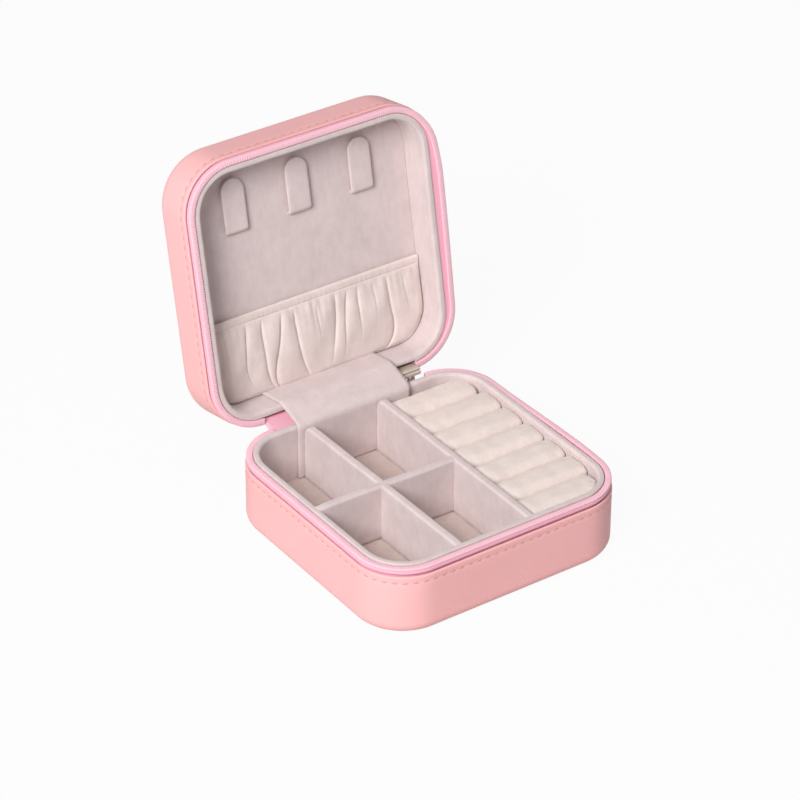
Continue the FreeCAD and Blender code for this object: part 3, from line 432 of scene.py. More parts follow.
def paint_nodes(finish, *nodes):
    """Give CAD nodes that stay in view their finish."""
    for node in nodes:
        materials = frame["nodes"][node].data.materials
        materials.clear()
        materials.append(finish)


def thicken(piece, thickness, offset):
    """Give a sheet its thickness, to one side of it or to both."""
    solid = piece.modifiers.new("thickness", "SOLIDIFY")
    solid.thickness = thickness
    solid.offset = offset


# Finishes


class Signal:
    """An output socket of a finish's nodes. Arithmetic on it adds Math nodes."""

    def __init__(self, tree, socket=None):
        self.tree = tree
        self.socket = socket

    def feed(self, node, sockets):
        """Set a node's sockets to values, or link them to signals."""
        for name, value in sockets.items():
            if isinstance(value, Signal):
                self.tree.links.new(value.socket, node.inputs[name])
            else:
                node.inputs[name].default_value = value

    def node(self, kind, settings=(), sockets=(), out=0):
        """Add a node: its settings first, then its sockets' values or links."""
        node = self.tree.nodes.new(kind)
        for name, value in dict(settings).items():
            setattr(node, name, value)
        self.feed(node, dict(sockets))
        return Signal(self.tree, node.outputs[out])

    def math(self, operation, *values):
        return self.node("ShaderNodeMath", {"operation": operation}, dict(enumerate(values)))

    def __add__(self, other):
        return self.math("ADD", self, other)

    __radd__ = __add__

    def __sub__(self, other):
        return self.math("SUBTRACT", self, other)

    def __rsub__(self, other):
        return self.math("SUBTRACT", other, self)

    def __mul__(self, other):
        return self.math("MULTIPLY", self, other)

    __rmul__ = __mul__

    def sine(self):
        return self.math("SINE", self)

    def wave(self):
        """A wave of 0 to 1: half the sine of this value, plus a half."""
        return self.sine() * 0.5 + 0.5

    def exponent(self):
        return self.math("EXPONENT", self)

    def noise(self, scale, detail=2.0, roughness=0.5):
        """Smooth noise of 0 to 1 over these coordinates, with about scale lumps in each unit of them."""
        sockets = {"Vector": self, "Scale": scale, "Detail": detail, "Roughness": roughness}
        return self.node("ShaderNodeTexNoise", {}, sockets)

    def between(self, dark, light):
        """A colour from dark to light as this value goes from 0 to 1."""
        sockets = {0: self, 6: (*dark, 1.0), 7: (*light, 1.0)}
        return self.node("ShaderNodeMix", {"data_type": "RGBA"}, sockets, out=2)

    def bump(self, strength, distance):
        """Surface direction of a relief whose height is this value times a distance."""
        return self.node("ShaderNodeBump", {}, {"Height": self, "Strength": strength, "Distance": distance})

    def scaled(self, x, y, z):
        """These coordinates stretched by three factors."""
        return self.node("ShaderNodeMapping", {}, {"Vector": self, "Scale": (x, y, z)})

    def parts(self):
        """The first two coordinates of a vector."""
        split = self.node("ShaderNodeSeparateXYZ", {}, {0: self})
        return split, Signal(self.tree, split.socket.node.outputs[1])


def toned(base, factor):
    """A colour made darker or lighter."""
    return tuple(min(1.0, channel * factor) for channel in base)


def finish(name, paint):
    """The finish of that name: a Principled shader fed by what paint returns for its coordinates."""
    made = bpy.data.materials.get(name)
    if made is not None:
        return made
    made = bpy.data.materials.new(name)
    made.use_nodes = True
    start = Signal(made.node_tree)
    walk = start.node("ShaderNodeUVMap", {"uv_map": "walk"})
    space = start.node("ShaderNodeTexCoord", out="Object")
    start.feed(made.node_tree.nodes["Principled BSDF"], paint(walk, space))
    return made


def leather_finish():
    """Cross-grain leather: two sets of fine slanting ridges that cross, bent and broken up by noise."""
    base = tuple(colours().leather)
    rise_pitch, fall_pitch = 0.8, 1.05

    def paint(walk, space):
        along, up = walk.parts()
        bend = walk.noise(0.6, 2.0) * 5.0
        rise = ((along + up) * (FULL_TURN / rise_pitch) + bend).wave()
        fall = ((along - up) * (FULL_TURN / fall_pitch) - bend).wave()
        pebble = walk.noise(2.4, 3.0, 0.6)
        grain = rise * 0.45 + fall * 0.25 + pebble * 0.5
        cloud = space.noise(38.0, 2.0)
        return {
            "Base Color": (grain * 0.8 + cloud * 0.4 - 0.1).between(toned(base, 0.89), toned(base, 1.09)),
            "Roughness": 0.66 - grain * 0.14,
            "Normal": grain.bump(0.45, 0.0002),
            "Specular IOR Level": 0.3,
        }
    return finish("cross_grain_leather", paint)


def thread_finish():
    """Twisted thread: fine slanting stripes along each stitch."""
    base = tuple(colours().thread)
    slant, twist_pitch = 1.4, 0.5

    def paint(walk, space):
        along, up = walk.parts()
        twist = ((along * slant + up) * (FULL_TURN / twist_pitch)).wave()
        return {
            "Base Color": twist.between(toned(base, 0.82), toned(base, 1.08)),
            "Roughness": 0.7 - twist * 0.15,
            "Normal": twist.bump(0.4, 0.00008),
            "Sheen Weight": 0.2,
        }
    return finish("sewing_thread", paint)


def velvet_paint(base, nap_depth):
    """Velvet: short fibres as very fine noise, and patches of brushed nap as slow noise, with the contrast of
    their sum raised about its middle."""
    fibre_depth, brush_depth, contrast = 0.35, 0.3, 2.0
    middle = (nap_depth + fibre_depth + brush_depth) / 2

    def paint(walk, space):
        fibre = space.noise(2400.0, 3.0, 0.7)
        nap = space.noise(150.0, 3.0, 0.6)
        brushed = space.scaled(1.0, 1.0, 0.35).noise(520.0, 2.0)
        pile = nap * nap_depth + fibre * fibre_depth + brushed * brush_depth
        tone = pile * contrast - middle * (contrast - 1)
        return {
            "Base Color": tone.between(toned(base, 0.84), toned(base, 1.08)),
            "Roughness": 0.98 - fibre * 0.1,
            "Normal": (fibre * 0.6 + brushed * 0.4).bump(0.3, 0.00025),
            "Specular IOR Level": 0.12,
            "Sheen Weight": 0.3,
            "Sheen Roughness": 0.45,
        }
    return paint


def velvet_finish():
    return finish("pale_velvet", velvet_paint(tuple(colours().velvet), 0.5))


# Floor velvet with painted shade: darker and browner than the lining, in place of the compartments' shade
def floor_finish():
    return finish("floor_cloth_painted_shade", velvet_paint(tuple(colours().shaded_floor_velvet), 0.5))


def roll_finish():
    return finish("cream_velvet", velvet_paint(tuple(colours().roll_velvet), 0.4))


def pocket_finish():
    return finish("pocket_velvet", velvet_paint(tuple(colours().pocket_cloth), 0.55))


def tape_finish(name="woven_zip_tape", seam=None):
    """Woven zip tape: warp along the tape and weft across it, as two sines that take turns. A seam, so many
    millimetres from the tape's first edge, carries a painted shade line for the groove's shadow beside the
    leather's edge. The line fades on both sides as a bell curve."""
    base = tuple(colours().zip_tape)
    warp_pitch, weft_pitch, shade_width = 0.55, 0.5, 0.5

    def paint(walk, space):
        along, across = walk.parts()
        warp = (along * (FULL_TURN / warp_pitch)).sine()
        weft = (across * (FULL_TURN / weft_pitch)).sine()
        weave = warp * weft * 0.5 + 0.5
        slub = walk.noise(1.2, 2.0)
        tone = weave * 0.19 + slub * 0.13 + 0.68
        # Painted shade: the tape darkens along the seam, in place of the groove's shadow beside the leather's
        # edge
        if seam is not None:
            aside = (across - seam) * (1 / shade_width)
            tone = tone * (1 - (aside * aside * -1.0).exponent())
        return {
            "Base Color": tone.between(toned(base, 0.5), toned(base, 1.06)),
            "Roughness": 0.8 - weave * 0.15,
            "Normal": weave.bump(0.35, 0.00012),
            "Sheen Weight": 0.15,
        }
    return finish(name, paint)


def coil_finish():
    """Nylon coil: fairly glossy, with painted shade that darkens it between the turns."""
    base = tuple(colours().zip_coil)
    pitch = sizes().coil_pitch / MM

    def paint(walk, space):
        along = walk.parts()[0]
        # Painted shade: darker in the gaps between the coil's turns
        turn = (along * (FULL_TURN / pitch)).wave()
        speck = walk.noise(3.0, 2.0)
        return {
            "Base Color": (turn * 0.6 + speck * 0.4).between(toned(base, 0.86), toned(base, 1.03)),
            "Roughness": 0.55 + speck * 0.15,
            "Normal": speck.bump(0.1, 0.00005),
        }
    return finish("nylon_coil", paint)


def metal_finish():
    """Satin plated metal with fine brush marks and slightly worn spots."""
    base = tuple(colours().zip_metal)

    def paint(walk, space):
        brush = space.scaled(0.15, 1.0, 1.0).noise(3000.0, 2.0)
        worn = space.noise(420.0, 3.0)
        return {
            "Base Color": (brush * 0.4 + worn * 0.6).between(toned(base, 0.85), toned(base, 1.2)),
            "Metallic": 0.35,
            "Roughness": 0.4 + worn * 0.2,
            "Normal": brush.bump(0.12, 0.00004),
        }
    return finish("plated_metal", paint)


def board_finish():
    """Greyboard: fibres pressed flat, with darker flecks."""
    base = tuple(colours().greyboard)

    def paint(walk, space):
        fibre = space.scaled(1.0, 0.4, 1.0).noise(900.0, 4.0, 0.7)
        return {
            "Base Color": fibre.between(toned(base, 0.75), toned(base, 1.15)),
            "Roughness": 0.9,
            "Normal": fibre.bump(0.2, 0.0002),
        }
    return finish("greyboard", paint)


def foam_finish():
    """Open foam: rounded cells."""
    base = tuple(colours().foam)

    def paint(walk, space):
        cell = space.node("ShaderNodeTexVoronoi", {}, {"Vector": space, "Scale": 1300.0})
        return {
            "Base Color": cell.between(toned(base, 1.05), toned(base, 0.8)),
            "Roughness": 0.95,
            "Normal": cell.bump(0.5, 0.0003),
        }
    return finish("foam", paint)


def elastic_finish():
    """Braided elastic: ribs across the band."""
    base = tuple(colours().elastic)
    rib_pitch = 0.8 * MM

    def paint(walk, space):
        along = space.parts()[0]
        rib = (along * (FULL_TURN / rib_pitch)).wave()
        return {
            "Base Color": rib.between(toned(base, 0.85), base),
            "Roughness": 0.8,
            "Normal": rib.bump(0.4, 0.0002),
        }
    return finish("braided_elastic", paint)


# Pieces


def tray_profile(height, rounding, thickness, stitch_drop):
    """Half section of a leather tray with its mouth up: round lower edge, wall with a shallow dent along the
    stitch line, edge turned over in a half circle, then down inside to the inner floor."""
    dent_width, dent_depth = 0.7 * MM, 0.16 * MM
    lip = thickness / 2
    outer = arc((rounding, rounding), rounding, 270, 180, 12)
    heights = np.linspace(rounding, height - lip, 34)[1:-1]
    dent = np.exp(-((heights - (height - stitch_drop)) / dent_width) ** 2) * dent_depth
    wall = np.stack([dent, heights], axis=-1)
    edge = arc((lip, height - lip), lip, 180, 0, 9)
    inner = arc((rounding, rounding), rounding - thickness, 180, 270, 8)
    return np.concatenate([outer, wall, edge, line(edge[-1], inner[0], 6), inner])


def make_covers():
    """Leather skins of base and lid, swept round the outline, with a slow unevenness of the wall."""
    case = sizes()
    plan = case_plan()
    way = plan.all_round(1.5 * MM)
    turns = FULL_TURN * way / plan.length
    uneven = wobble(np.round(turns, 9), 0.05 * MM, 1.0)[:, None] * np.sin(turns / 2)[:, None]
    for half, box, rounding, place in (
            ("base", node_box("base_cover"), case.base_round, None),
            ("lid", shut_box("lid_cover"), case.lid_round, opened)):
        low, high = box[0][2], box[1][2]
        profile = tray_profile(high - low, rounding, case.leather, case.stitch_drop)
        if place is not None:
            profile[:, 1] += low
            profile = upside_down(profile, low, high)
        grid = plan.sweep(profile, way, uneven)
        skin = surface(half + "_leather", grid, wrap_rows=True, caps="columns", place=place)
        dress(skin, half, leather_finish(), [half + "_cover"])


def make_stitches():
    """Stitches along the leather's edge: short threads, thick in the middle, that follow the outline, slant a
    little and lie sunk in the leather, deeper at their ends."""
    case = sizes()
    plan = case_plan()
    blunt, sunk_middle, sunk_ends = 1.02, 0.36, 0.2
    count = round(plan.length / case.stitch_pitch)
    starts = np.arange(count) * plan.length / count
    along = np.linspace(-1, 1, 6)
    around = np.radians(np.arange(0, 360, 60))
    thick = case.stitch_width / 2 * np.sqrt(blunt - along ** 2)[:, None]
    way = starts[:, None, None] + (along * case.stitch_length / 2)[None, :, None]
    sunk = case.stitch_width * (sunk_middle + sunk_ends * along ** 2)[:, None]
    inset = sunk - thick * np.sin(around)
    rise = thick * np.cos(around) + (along * case.stitch_width / 4)[:, None]
    for name, height, body, place in (
            ("base_stitches", node_box("base_cover")[1][2] - case.stitch_drop, "base", None),
            ("lid_stitches", shut_box("lid_cover")[0][2] + case.stitch_drop, "lid", opened)):
        threads = plan.at(way, inset[None], height + rise[None])
        stitches = surface(name, threads, wrap_columns=True, caps="rows", place=place)
        dress(stitches, body, thread_finish())


def zip_lean(plan, way, far):
    """Share by which the zip's free edge leans out: it grows from nought, in the middle of the front right
    corner, to one on the right side, changes to far along it and fades round the back right corner, by a
    smooth step."""
    corner, side, end, fade = plan.marks[5:9]
    full = side + 0.2 * (end - side)
    lean = np.interp(np.mod(way, plan.length), [(corner + side) / 2, full, end, fade], [0, 1, far, 0])
    return lean ** 2 * (3 - 2 * lean)


def tape_profile(foot, leather, shelf, up):
    """Section of a zip tape, by runs and arcs: up behind the leather, out over its edge, on to the shelf
    under the coil and in along it."""
    behind, over, outside = 1.3 * MM, 0.32 * MM, 0.3 * MM
    bend, full = leather + 0.1 * MM * up, leather + 1.0 * MM * up
    turns = [(behind, foot), (behind, bend), (over, full), (outside, shelf), (TAPE_INNER, shelf)]
    return rounded_route(turns, [0.25 * MM, 0.3 * MM, 0.2 * MM], 0.2 * MM)[::up]


def coil_grid(plan, way, mouth, up, lean):
    """Grid of a zip coil: a superellipse across, whose size rises and falls with every turn."""
    case = sizes()
    inset, wide, tall, drop, slant = 1.45 * MM, 1.1 * MM, 0.48 * MM, 0.5 * MM, 0.3
    around = np.radians(np.arange(0, 360, 24))
    flat, deep = superellipse(around, 0.6, 0.6)
    rib = case.coil_rib * np.cos(FULL_TURN * way[:, None] / case.coil_pitch - slant * around[None])
    height = mouth + up * ((tall + rib) * deep - drop)
    return plan.at(way[:, None], inset - (wide + rib) * flat - lean, height)[:, ::up]


def make_zip():
    """Zip halves: a tape that comes up behind the leather's edge, swells over it and turns in under the coil
    to the lining, and the coil. Both lean out on the right side, the tape the more the nearer it is to the
    coil, and less where it turns in."""
    case = sizes()
    plan = case_plan()
    spine_gap, slider_gap = 0.1 * MM, 0.5 * MM
    shelf_drop, turn_in, shade_rise = 0.95 * MM, 1.9 * MM, 0.65 * MM
    ends = (node_box("hinge_spine")[0][0] - spine_gap, node_box("zip_slider")[1][0] + slider_gap)
    way = plan.back_to_back(*ends, 1.2 * MM)
    fine = plan.back_to_back(*ends, case.coil_pitch / 6)
    for half, box, up, edge, reach, far, place in (
            ("base", node_box, 1, 1, case.base_lean, 0.0, None),
            ("lid", shut_box, -1, 0, case.lid_lean, 0.6, opened)):
        leather = box(half + "_cover")[edge][2]
        foot = box(half + "_zip_tape")[1 - edge][2]
        mouth = box(half + "_zip_coil")[edge][2]
        shelf = mouth - shelf_drop * up
        profile = tape_profile(foot, leather, shelf, up)
        rise = np.clip((profile[:, 1] - leather) / (shelf - leather), 0, 1)
        free = np.clip((TAPE_INNER - profile[:, 0]) / turn_in, 0, 1)
        out = reach * zip_lean(plan, way, far)[:, None] * rise * free
        tape = surface(half + "_tape", plan.sweep(profile, way, out), place=place)
        thicken(tape, case.tape, -1.0)
        # Where the painted shade line lies across the tape: the groove's shadow, just above the leather's
        # edge
        seam = run_of(profile, False)[np.abs(profile[:, 1] - leather - shade_rise * up).argmin()]
        dress(tape, half, tape_finish(half + "_tape_with_painted_shade", seam), [half + "_zip_tape"])
        grid = coil_grid(plan, fine, mouth, up, reach * zip_lean(plan, fine, far)[:, None])
        coil = surface(half + "_coil", grid, wrap_columns=True, caps="rows", place=place)
        dress(coil, half, coil_finish(), [half + "_zip_coil"])
    paint_nodes(metal_finish(), "zip_pull")


def rounded_block(x_range, y_range, z_range, rounding):
    """Grid of a block with round edges: a rounded rectangle across, carried along x, that draws in at both
    ends by the rounding times one minus a sine."""
    swing = np.linspace(0, math.pi / 2, 5)
    draw = rounding * (1 - np.sin(np.concatenate([swing, swing[::-1]])))
    end = rounding * (1 - np.cos(swing))
    x = np.concatenate([x_range[0] + end, x_range[1] - end[::-1]])
    y_half, z_half = (y_range[1] - y_range[0]) / 2 - rounding, (z_range[1] - z_range[0]) / 2 - rounding
    turn = np.radians(np.concatenate([np.linspace(start, start + 90, 5) for start in (0, 90, 180, 270)]))
    right, up = np.array([1, -1, -1, 1]).repeat(5), np.array([1, 1, -1, -1]).repeat(5)
    y = sum(y_range) / 2 + y_half * right + (rounding - draw[:, None]) * np.cos(turn)
    z = sum(z_range) / 2 + z_half * up + (rounding - draw[:, None]) * np.sin(turn)
    return np.stack([x[:, None] + 0.0 * y, y, z], axis=-1)


def make_slider():
    """Zip slider with the lid shut: two plates with round edges and a narrow slit for the tape between them,
    the post inside, and a bail of two legs and a bar on the outer plate. The end of the tapes is a block."""
    case = sizes()
    low, high = shut_box("zip_slider")
    plate_round, core, bar, bail_reach, bail_half = 0.35 * MM, 0.45 * MM, 0.9 * MM, 2.6 * MM, 0.8 * MM
    face = low[1] + case.slider
    slit_low, slit_high = face - 0.5 * case.slider, face - 0.42 * case.slider
    x, z = (low[0], high[0]), (low[2], high[2])
    post_x, post_z = (low[0] + core, high[0] - core), (low[2] + core, high[2] - core)
    left, right = sum(x) / 2 - bail_reach, sum(x) / 2 + bail_reach
    bail_y, bail_z = (face - core, high[1]), (sum(z) / 2 - bail_half, sum(z) / 2 + bail_half)
    grids = np.array([
        rounded_block(x, (low[1] + case.slider_thin, slit_low), z, plate_round),
        rounded_block(x, (slit_high, face), z, plate_round),
        rounded_block(post_x, (slit_low - core, slit_high + core), post_z, core / 2),
        rounded_block((left, left + bar), bail_y, bail_z, core / 2),
        rounded_block((right - bar, right), bail_y, bail_z, core / 2),
        rounded_block((left, right), (high[1] - bar, high[1]), bail_z, core / 2)])
    slider = surface("slider_block", grids, wrap_columns=True, caps="rows", place=opened)
    dress(slider, "lid", metal_finish(), ["zip_slider"])
    low, high = shut_box("zip_end_tape")
    shy = np.array([0.0, 0.0, 2 * core])
    grid = rounded_block(*zip(low + shy, high - shy), 0.2 * MM)
    tape = surface("end_tape", grid, wrap_columns=True, caps="rows", place=opened)
    dress(tape, "lid", tape_finish(), ["zip_end_tape"])


def band_profile(low, high, ledge, wide, outer, inner):
    """Section of a velvet wall with its mouth up: the outer side, a ledge that reaches out under the rim, the
    rim with a small round outside and a larger one inside, and the inner side, slightly full."""
    small, large, full = 0.35 * MM, 1.1 * MM, 0.12 * MM
    outside = [(outer, low), (outer, ledge), (wide, ledge)]
    rim_outside = arc((wide + small, high - small), small, 180, 90, 7)
    rim_inside = arc((inner - large, high - large), large, 90, 0, 10)
    heights = np.linspace(high - large, low, 24)[1:]
    bulge = full * np.sin(np.linspace(0, math.pi, len(heights)))
    inside = np.stack([inner + bulge, heights], axis=-1)
    return np.concatenate([outside, rim_outside, rim_inside, inside])


def make_linings():
    """Velvet walls of base and lid, swept round the outline, with a faintly uneven rim. The ledge under the
    rim reaches out to the zip, and draws back to the wall where the slider lies when the lid is shut."""
    plan = case_plan()
    step, card_gap, board_gap, rim_back = 0.3 * MM, 0.15 * MM, 0.1 * MM, 0.6 * MM
    left, right = node_box("zip_slider")[0][0], node_box("zip_slider")[1][0]
    stops = plan.length - np.array([right + 2 * step, right + step, left - step, left - 2 * step])
    way = np.sort(np.concatenate([plan.all_round(1.2 * MM), stops]))
    drawn = np.interp(way, stops, [0, 1, 1, 0])[:, None]
    half_x = node_box("base_cover")[1][0]
    wide = half_x - node_box("base_lining")[1][0] + rim_back
    inner = half_x - node_box("base_floor_card")[1][0] - card_gap
    outer = inner - sizes().lining
    soft = wobble(np.sin(FULL_TURN * way / plan.length) * 9, 0.1 * MM, 2.0)[:, None]
    for half, box, board, place in (
            ("base", node_box("base_lining"), node_box("base_board")[1][2], None),
            ("lid", shut_box("lid_lining"), shut_box("lid_board")[0][2], opened)):
        low, high = box[0][2], box[1][2]
        reach = abs(board - (high if place is None else low)) - board_gap
        profile = band_profile(low, high, high - reach, wide, outer, inner)
        if place is not None:
            profile = upside_down(profile, low, high)
        inset = profile[None, :, 0] + drawn * np.maximum(0, outer - profile[None, :, 0])
        grid = plan.at(way[:, None], inset - soft, profile[None, :, 1])
        wall = surface(half + "_velvet", grid, wrap_rows=True, wrap_columns=True, place=place)
        dress(wall, half, velvet_finish(), [half + "_lining"])
    paint_nodes(floor_finish(), "base_floor_card")
    paint_nodes(velvet_finish(), "lid_panel")


def velvet_board(name, node, along_y, skew, corner, past, seed):
    """A velvet-covered board on edge: a section with round top edges, carried along the board. It starts sunk
    in the wall's velvet, level with the rim, its top falls in a quarter circle of radius corner at the far
    end, which may reach past its node, and the whole is slightly bowed and out of line."""
    low, high = node_box(node)
    dip, bow_size, top_size, edge_share = 0.35 * MM, 0.2 * MM, 0.12 * MM, 0.6
    run, side = (1, 0) if along_y else (0, 1)
    high[run] += past
    reach, half, tall = high[run] - low[run], (high[side] - low[side]) / 2, high[2] - low[2]
    sunk = sizes().divider_sunk
    end = corner * (1 - np.cos(np.linspace(math.pi / 2, 0, 10)))
    at = np.concatenate([np.linspace(-sunk, reach - corner, 70)[:-1], reach - end])
    late = np.clip(at - (reach - corner), 0, corner)
    early = np.clip(1 - (at + sunk) / (4 * sunk), 0, 1)
    drop = corner - np.sqrt(corner ** 2 - late ** 2) + dip * early
    edge = half * edge_share
    left = line((-half, 0), (-half, tall - edge), 14)
    left_top = arc((-half + edge, tall - edge), edge, 180, 90, 8)
    right_top = arc((half - edge, tall - edge), edge, 90, 0, 8)
    right = left[::-1] * np.array([-1, 1])
    section = np.concatenate([[(-half, 0)], left, left_top, right_top, right, [(half, 0)]])
    bow = wobble(at / reach * 3, bow_size, seed) + skew * (2 * at / reach - 1)
    rough = wobble(at / reach * 5, top_size, seed + 2)[:, None] * (section[None, :, 1] / tall) ** 2
    height = low[2] + section[None, :, 1] * ((tall - drop) / tall)[:, None] + rough
    across = section[None, :, 0] + bow[:, None]
    middle = (low[side] + high[side]) / 2
    if along_y:
        grid = np.stack(np.broadcast_arrays(middle - across, low[1] + at[:, None], height), axis=-1)
    else:
        grid = np.stack(np.broadcast_arrays(low[0] + at[:, None], middle + across, height), axis=-1)
    board = surface(name, grid, wrap_columns=True, caps="rows")
    dress(board, "base", velvet_finish(), [node])


def make_dividers():
    """Three dividers. The cross divider's end is square and reaches the ring divider."""
    case = sizes()
    square, past = 0.1 * MM, 0.4 * MM
    velvet_board("ring_divider_velvet", "ring_divider", True, 0.0, case.divider_corner, 0.0, 1.0)
    velvet_board("long_divider_velvet", "long_divider", True, case.skew, case.divider_corner, 0.0, 2.0)
    velvet_board("cross_divider_velvet", "cross_divider", False, -case.skew, square, past, 3.0)


def roll_form(node, seed):
    """Grid of a ring roll: a section with straight sides and a crowned top, carried from the divider to the
    wall. The crest falls along a quarter ellipse at the right end, where the sides draw in, and the first and
    last rolls stop at the wall's round corners."""
    case = sizes()
    low, high = node_box(node)
    head_length, dip, uneven, wall_inset = 1.5, 0.7 * MM, 0.08 * MM, 5.3 * MM
    blunt, end_draw, head_draw = 0.98, 0.1, 0.04
    reach = high[0] - low[0]
    tail = reach - case.roll_end * (1 - np.sin(np.linspace(0, math.pi / 2, 12)))
    head = (1 - np.cos(np.linspace(0, math.pi / 2, 6))) * head_length * MM
    at = np.concatenate([head[:-1], np.linspace(head[-1], tail[0], 24)[:-1], tail])
    late = np.clip((at - tail[0]) / case.roll_end, 0, 1)
    early = np.clip(1 - at / head[-1], 0, 1)
    drop = case.roll_drop * (1 - np.sqrt(1 - blunt * late ** 2)) + dip * early ** 2
    draw = 1 - end_draw * late ** 3 - head_draw * early ** 2
    crown = case.roll_crown
    tall = high[2] - low[2]
    half = (high[1] - low[1]) / 2
    bulge, rise = superellipse(np.linspace(math.pi, 0, 27), 0.6, 0.6)
    top = np.stack([half * bulge, tall - crown + crown * rise], axis=-1)
    foot = line((-half, 0), (-half, tall - crown), 8)
    section = np.concatenate([[(-half, 0)], foot, top, foot[::-1] * np.array([-1, 1]), [(half, 0)]])
    lift = (section[:, 1] / tall) ** 2
    puff = wobble(at / reach * 7 + seed, uneven, seed * 0.7)
    middle = (low[1] + high[1]) / 2 + wobble(at / reach * 4, uneven, seed * 1.9)
    y = middle[:, None] + section[None, :, 0] * draw[:, None]
    x = low[0] + at[:, None] + 0.0 * y
    z = low[2] + section[None, :, 1] + (puff - drop)[:, None] * lift[None]
    wall = case_plan().half_depth(x, wall_inset)
    return np.stack([x, np.clip(y, -wall, wall), z], axis=-1)


def baked(piece):
    """Replace a piece's mesh by what its modifiers make of it, and return its points."""
    made = bpy.data.meshes.new_from_object(piece.evaluated_get(bpy.context.evaluated_depsgraph_get()))
    piece.modifiers.clear()
    piece.data = made
    return points_of(made)


def swell_as_cloth(piece, held_to, cap):
    """Let a pad swell. Its mesh, ten times its size, is remeshed evenly, held below a height and blown up
    from inside for twenty frames. No point moves further than the cap, and the size goes back at the
    end."""
    scene = bpy.context.scene
    piece.data.transform(Matrix.Scale(SWELL_SCALE, 4))
    remesh = piece.modifiers.new("even", "REMESH")
    remesh.mode = "VOXEL"
    remesh.voxel_size = SWELL_VOXEL
    before = baked(piece)
    fade = 1.0 * MM * SWELL_SCALE
    weights = np.clip((held_to * SWELL_SCALE - before[:, 2]) / fade + 1, 0, 1)
    held = piece.vertex_groups.new(name="held")
    for index, weight in enumerate(weights.tolist()):
        held.add([index], weight, "REPLACE")
    cloth = piece.modifiers.new("cloth", "CLOTH")
    cloth.settings.vertex_group_mass = "held"
    cloth.settings.use_pressure = True
    cloth.settings.uniform_pressure_force = SWELL_PRESSURE
    cloth.settings.effector_weights.gravity = 0.0
    for frame_number in range(1, SWELL_FRAMES + 1):
        scene.frame_set(frame_number)
    after = baked(piece)
    scene.frame_set(1)
    move = after - before
    far = np.linalg.norm(move, axis=1)[:, None]
    move = move * np.minimum(1, cap * SWELL_SCALE / np.maximum(far, 1e-9))
    piece.vertex_groups.clear()
    piece.data.vertices.foreach_set("co", ((before + move) / SWELL_SCALE).ravel())
    piece.data.shade_smooth()
    piece.data.update()


def copied_roll(name, pattern, low, high, seed):
    """The pattern roll's mesh at another roll's place, with a slow unevenness of its own that grows to the
    crest by the fourth power of the height."""
    mesh = pattern.data.copy()
    mesh.materials.clear()
    points = points_of(mesh)
    points[:, 1] += low[1] - node_box(ROLL_PATTERN)[0][1]
    along = (points[:, 0] - low[0]) / (high[0] - low[0])
    lift = ((points[:, 2] - low[2]) / (high[2] - low[2])) ** 4
    points[:, 2] += lift * wobble(along * 7, 0.08 * MM, seed)
    mesh.vertices.foreach_set("co", points.ravel())
    return add_object(name, mesh)


def make_rolls():
    """Ring rolls, swollen as cloth. The second one's mesh serves for the others between the corners, each
    with a slow unevenness of its own along the roll."""
    case = sizes()
    pattern = None
    for number in range(1, ROLL_COUNT + 1):
        node = "ring_roll_%d" % number
        name = "velvet_roll_%d" % number
        low, high = node_box(node)
        if number in SWOLLEN_ROLLS:
            roll = surface(name, roll_form(node, number), wrap_columns=True, caps="rows")
            swell_as_cloth(roll, high[2] - case.roll_crown, case.roll_cap)
        else:
            roll = copied_roll(name, pattern, low, high, number * 1.3)
        if node == ROLL_PATTERN:
            pattern = roll
        finer = roll.modifiers.new("finer", "SUBSURF")
        finer.levels = 1
        finer.render_levels = 1
        dress(roll, "base", roll_finish(), [node])


def make_hooks():
    """Necklace hooks: a flat rounded strip that leaves the panel, bends, and stands up free to a half-round
    tip. The section is a superellipse, whose width closes as a circle at the tip."""
    thick, root, bend, blunt = 0.6 * MM, 0.2 * MM, 1.1 * MM, 1.0004
    turn = np.radians(np.arange(0, 360, 10))
    flat, deep = superellipse(turn, 0.4, 0.6)
    for number in range(1, HOOK_COUNT + 1):
        node = "necklace_hook_%d" % number
        low, high = shut_box(node)
        half = (high[0] - low[0]) / 2
        tab_z, foot_y, tip_y = low[2] + thick, high[1] - thick, low[1] + half
        route = rounded_route(
            [(foot_y, high[2] + root), (foot_y, tab_z), (tip_y, tab_z)], [bend], 0.3 * MM)
        tip = half * np.sin(np.linspace(0, math.pi / 2, 14))[1:]
        tip_wide = np.sqrt(half ** 2 * blunt - tip ** 2)
        wide = np.concatenate([np.full(len(route), half), tip_wide])
        route = np.concatenate([route, np.stack([tip_y - tip, np.full(len(tip), tab_z)], axis=-1)])
        step = np.gradient(route, axis=0)
        step = step / np.linalg.norm(step, axis=1)[:, None]
        normal = np.stack([-step[:, 1], step[:, 0]], axis=-1)
        x = (low[0] + high[0]) / 2 + wide[:, None] * flat[None]
        y = route[:, None, 0] + normal[:, None, 0] * thick * deep[None]
        z = route[:, None, 1] + normal[:, None, 1] * thick * deep[None]
        grid = np.stack([x, y, z], axis=-1)
        hook = surface("velvet_hook_%d" % number, grid, wrap_columns=True, caps="rows", place=opened)
        dress(hook, "lid", velvet_finish(), [node])


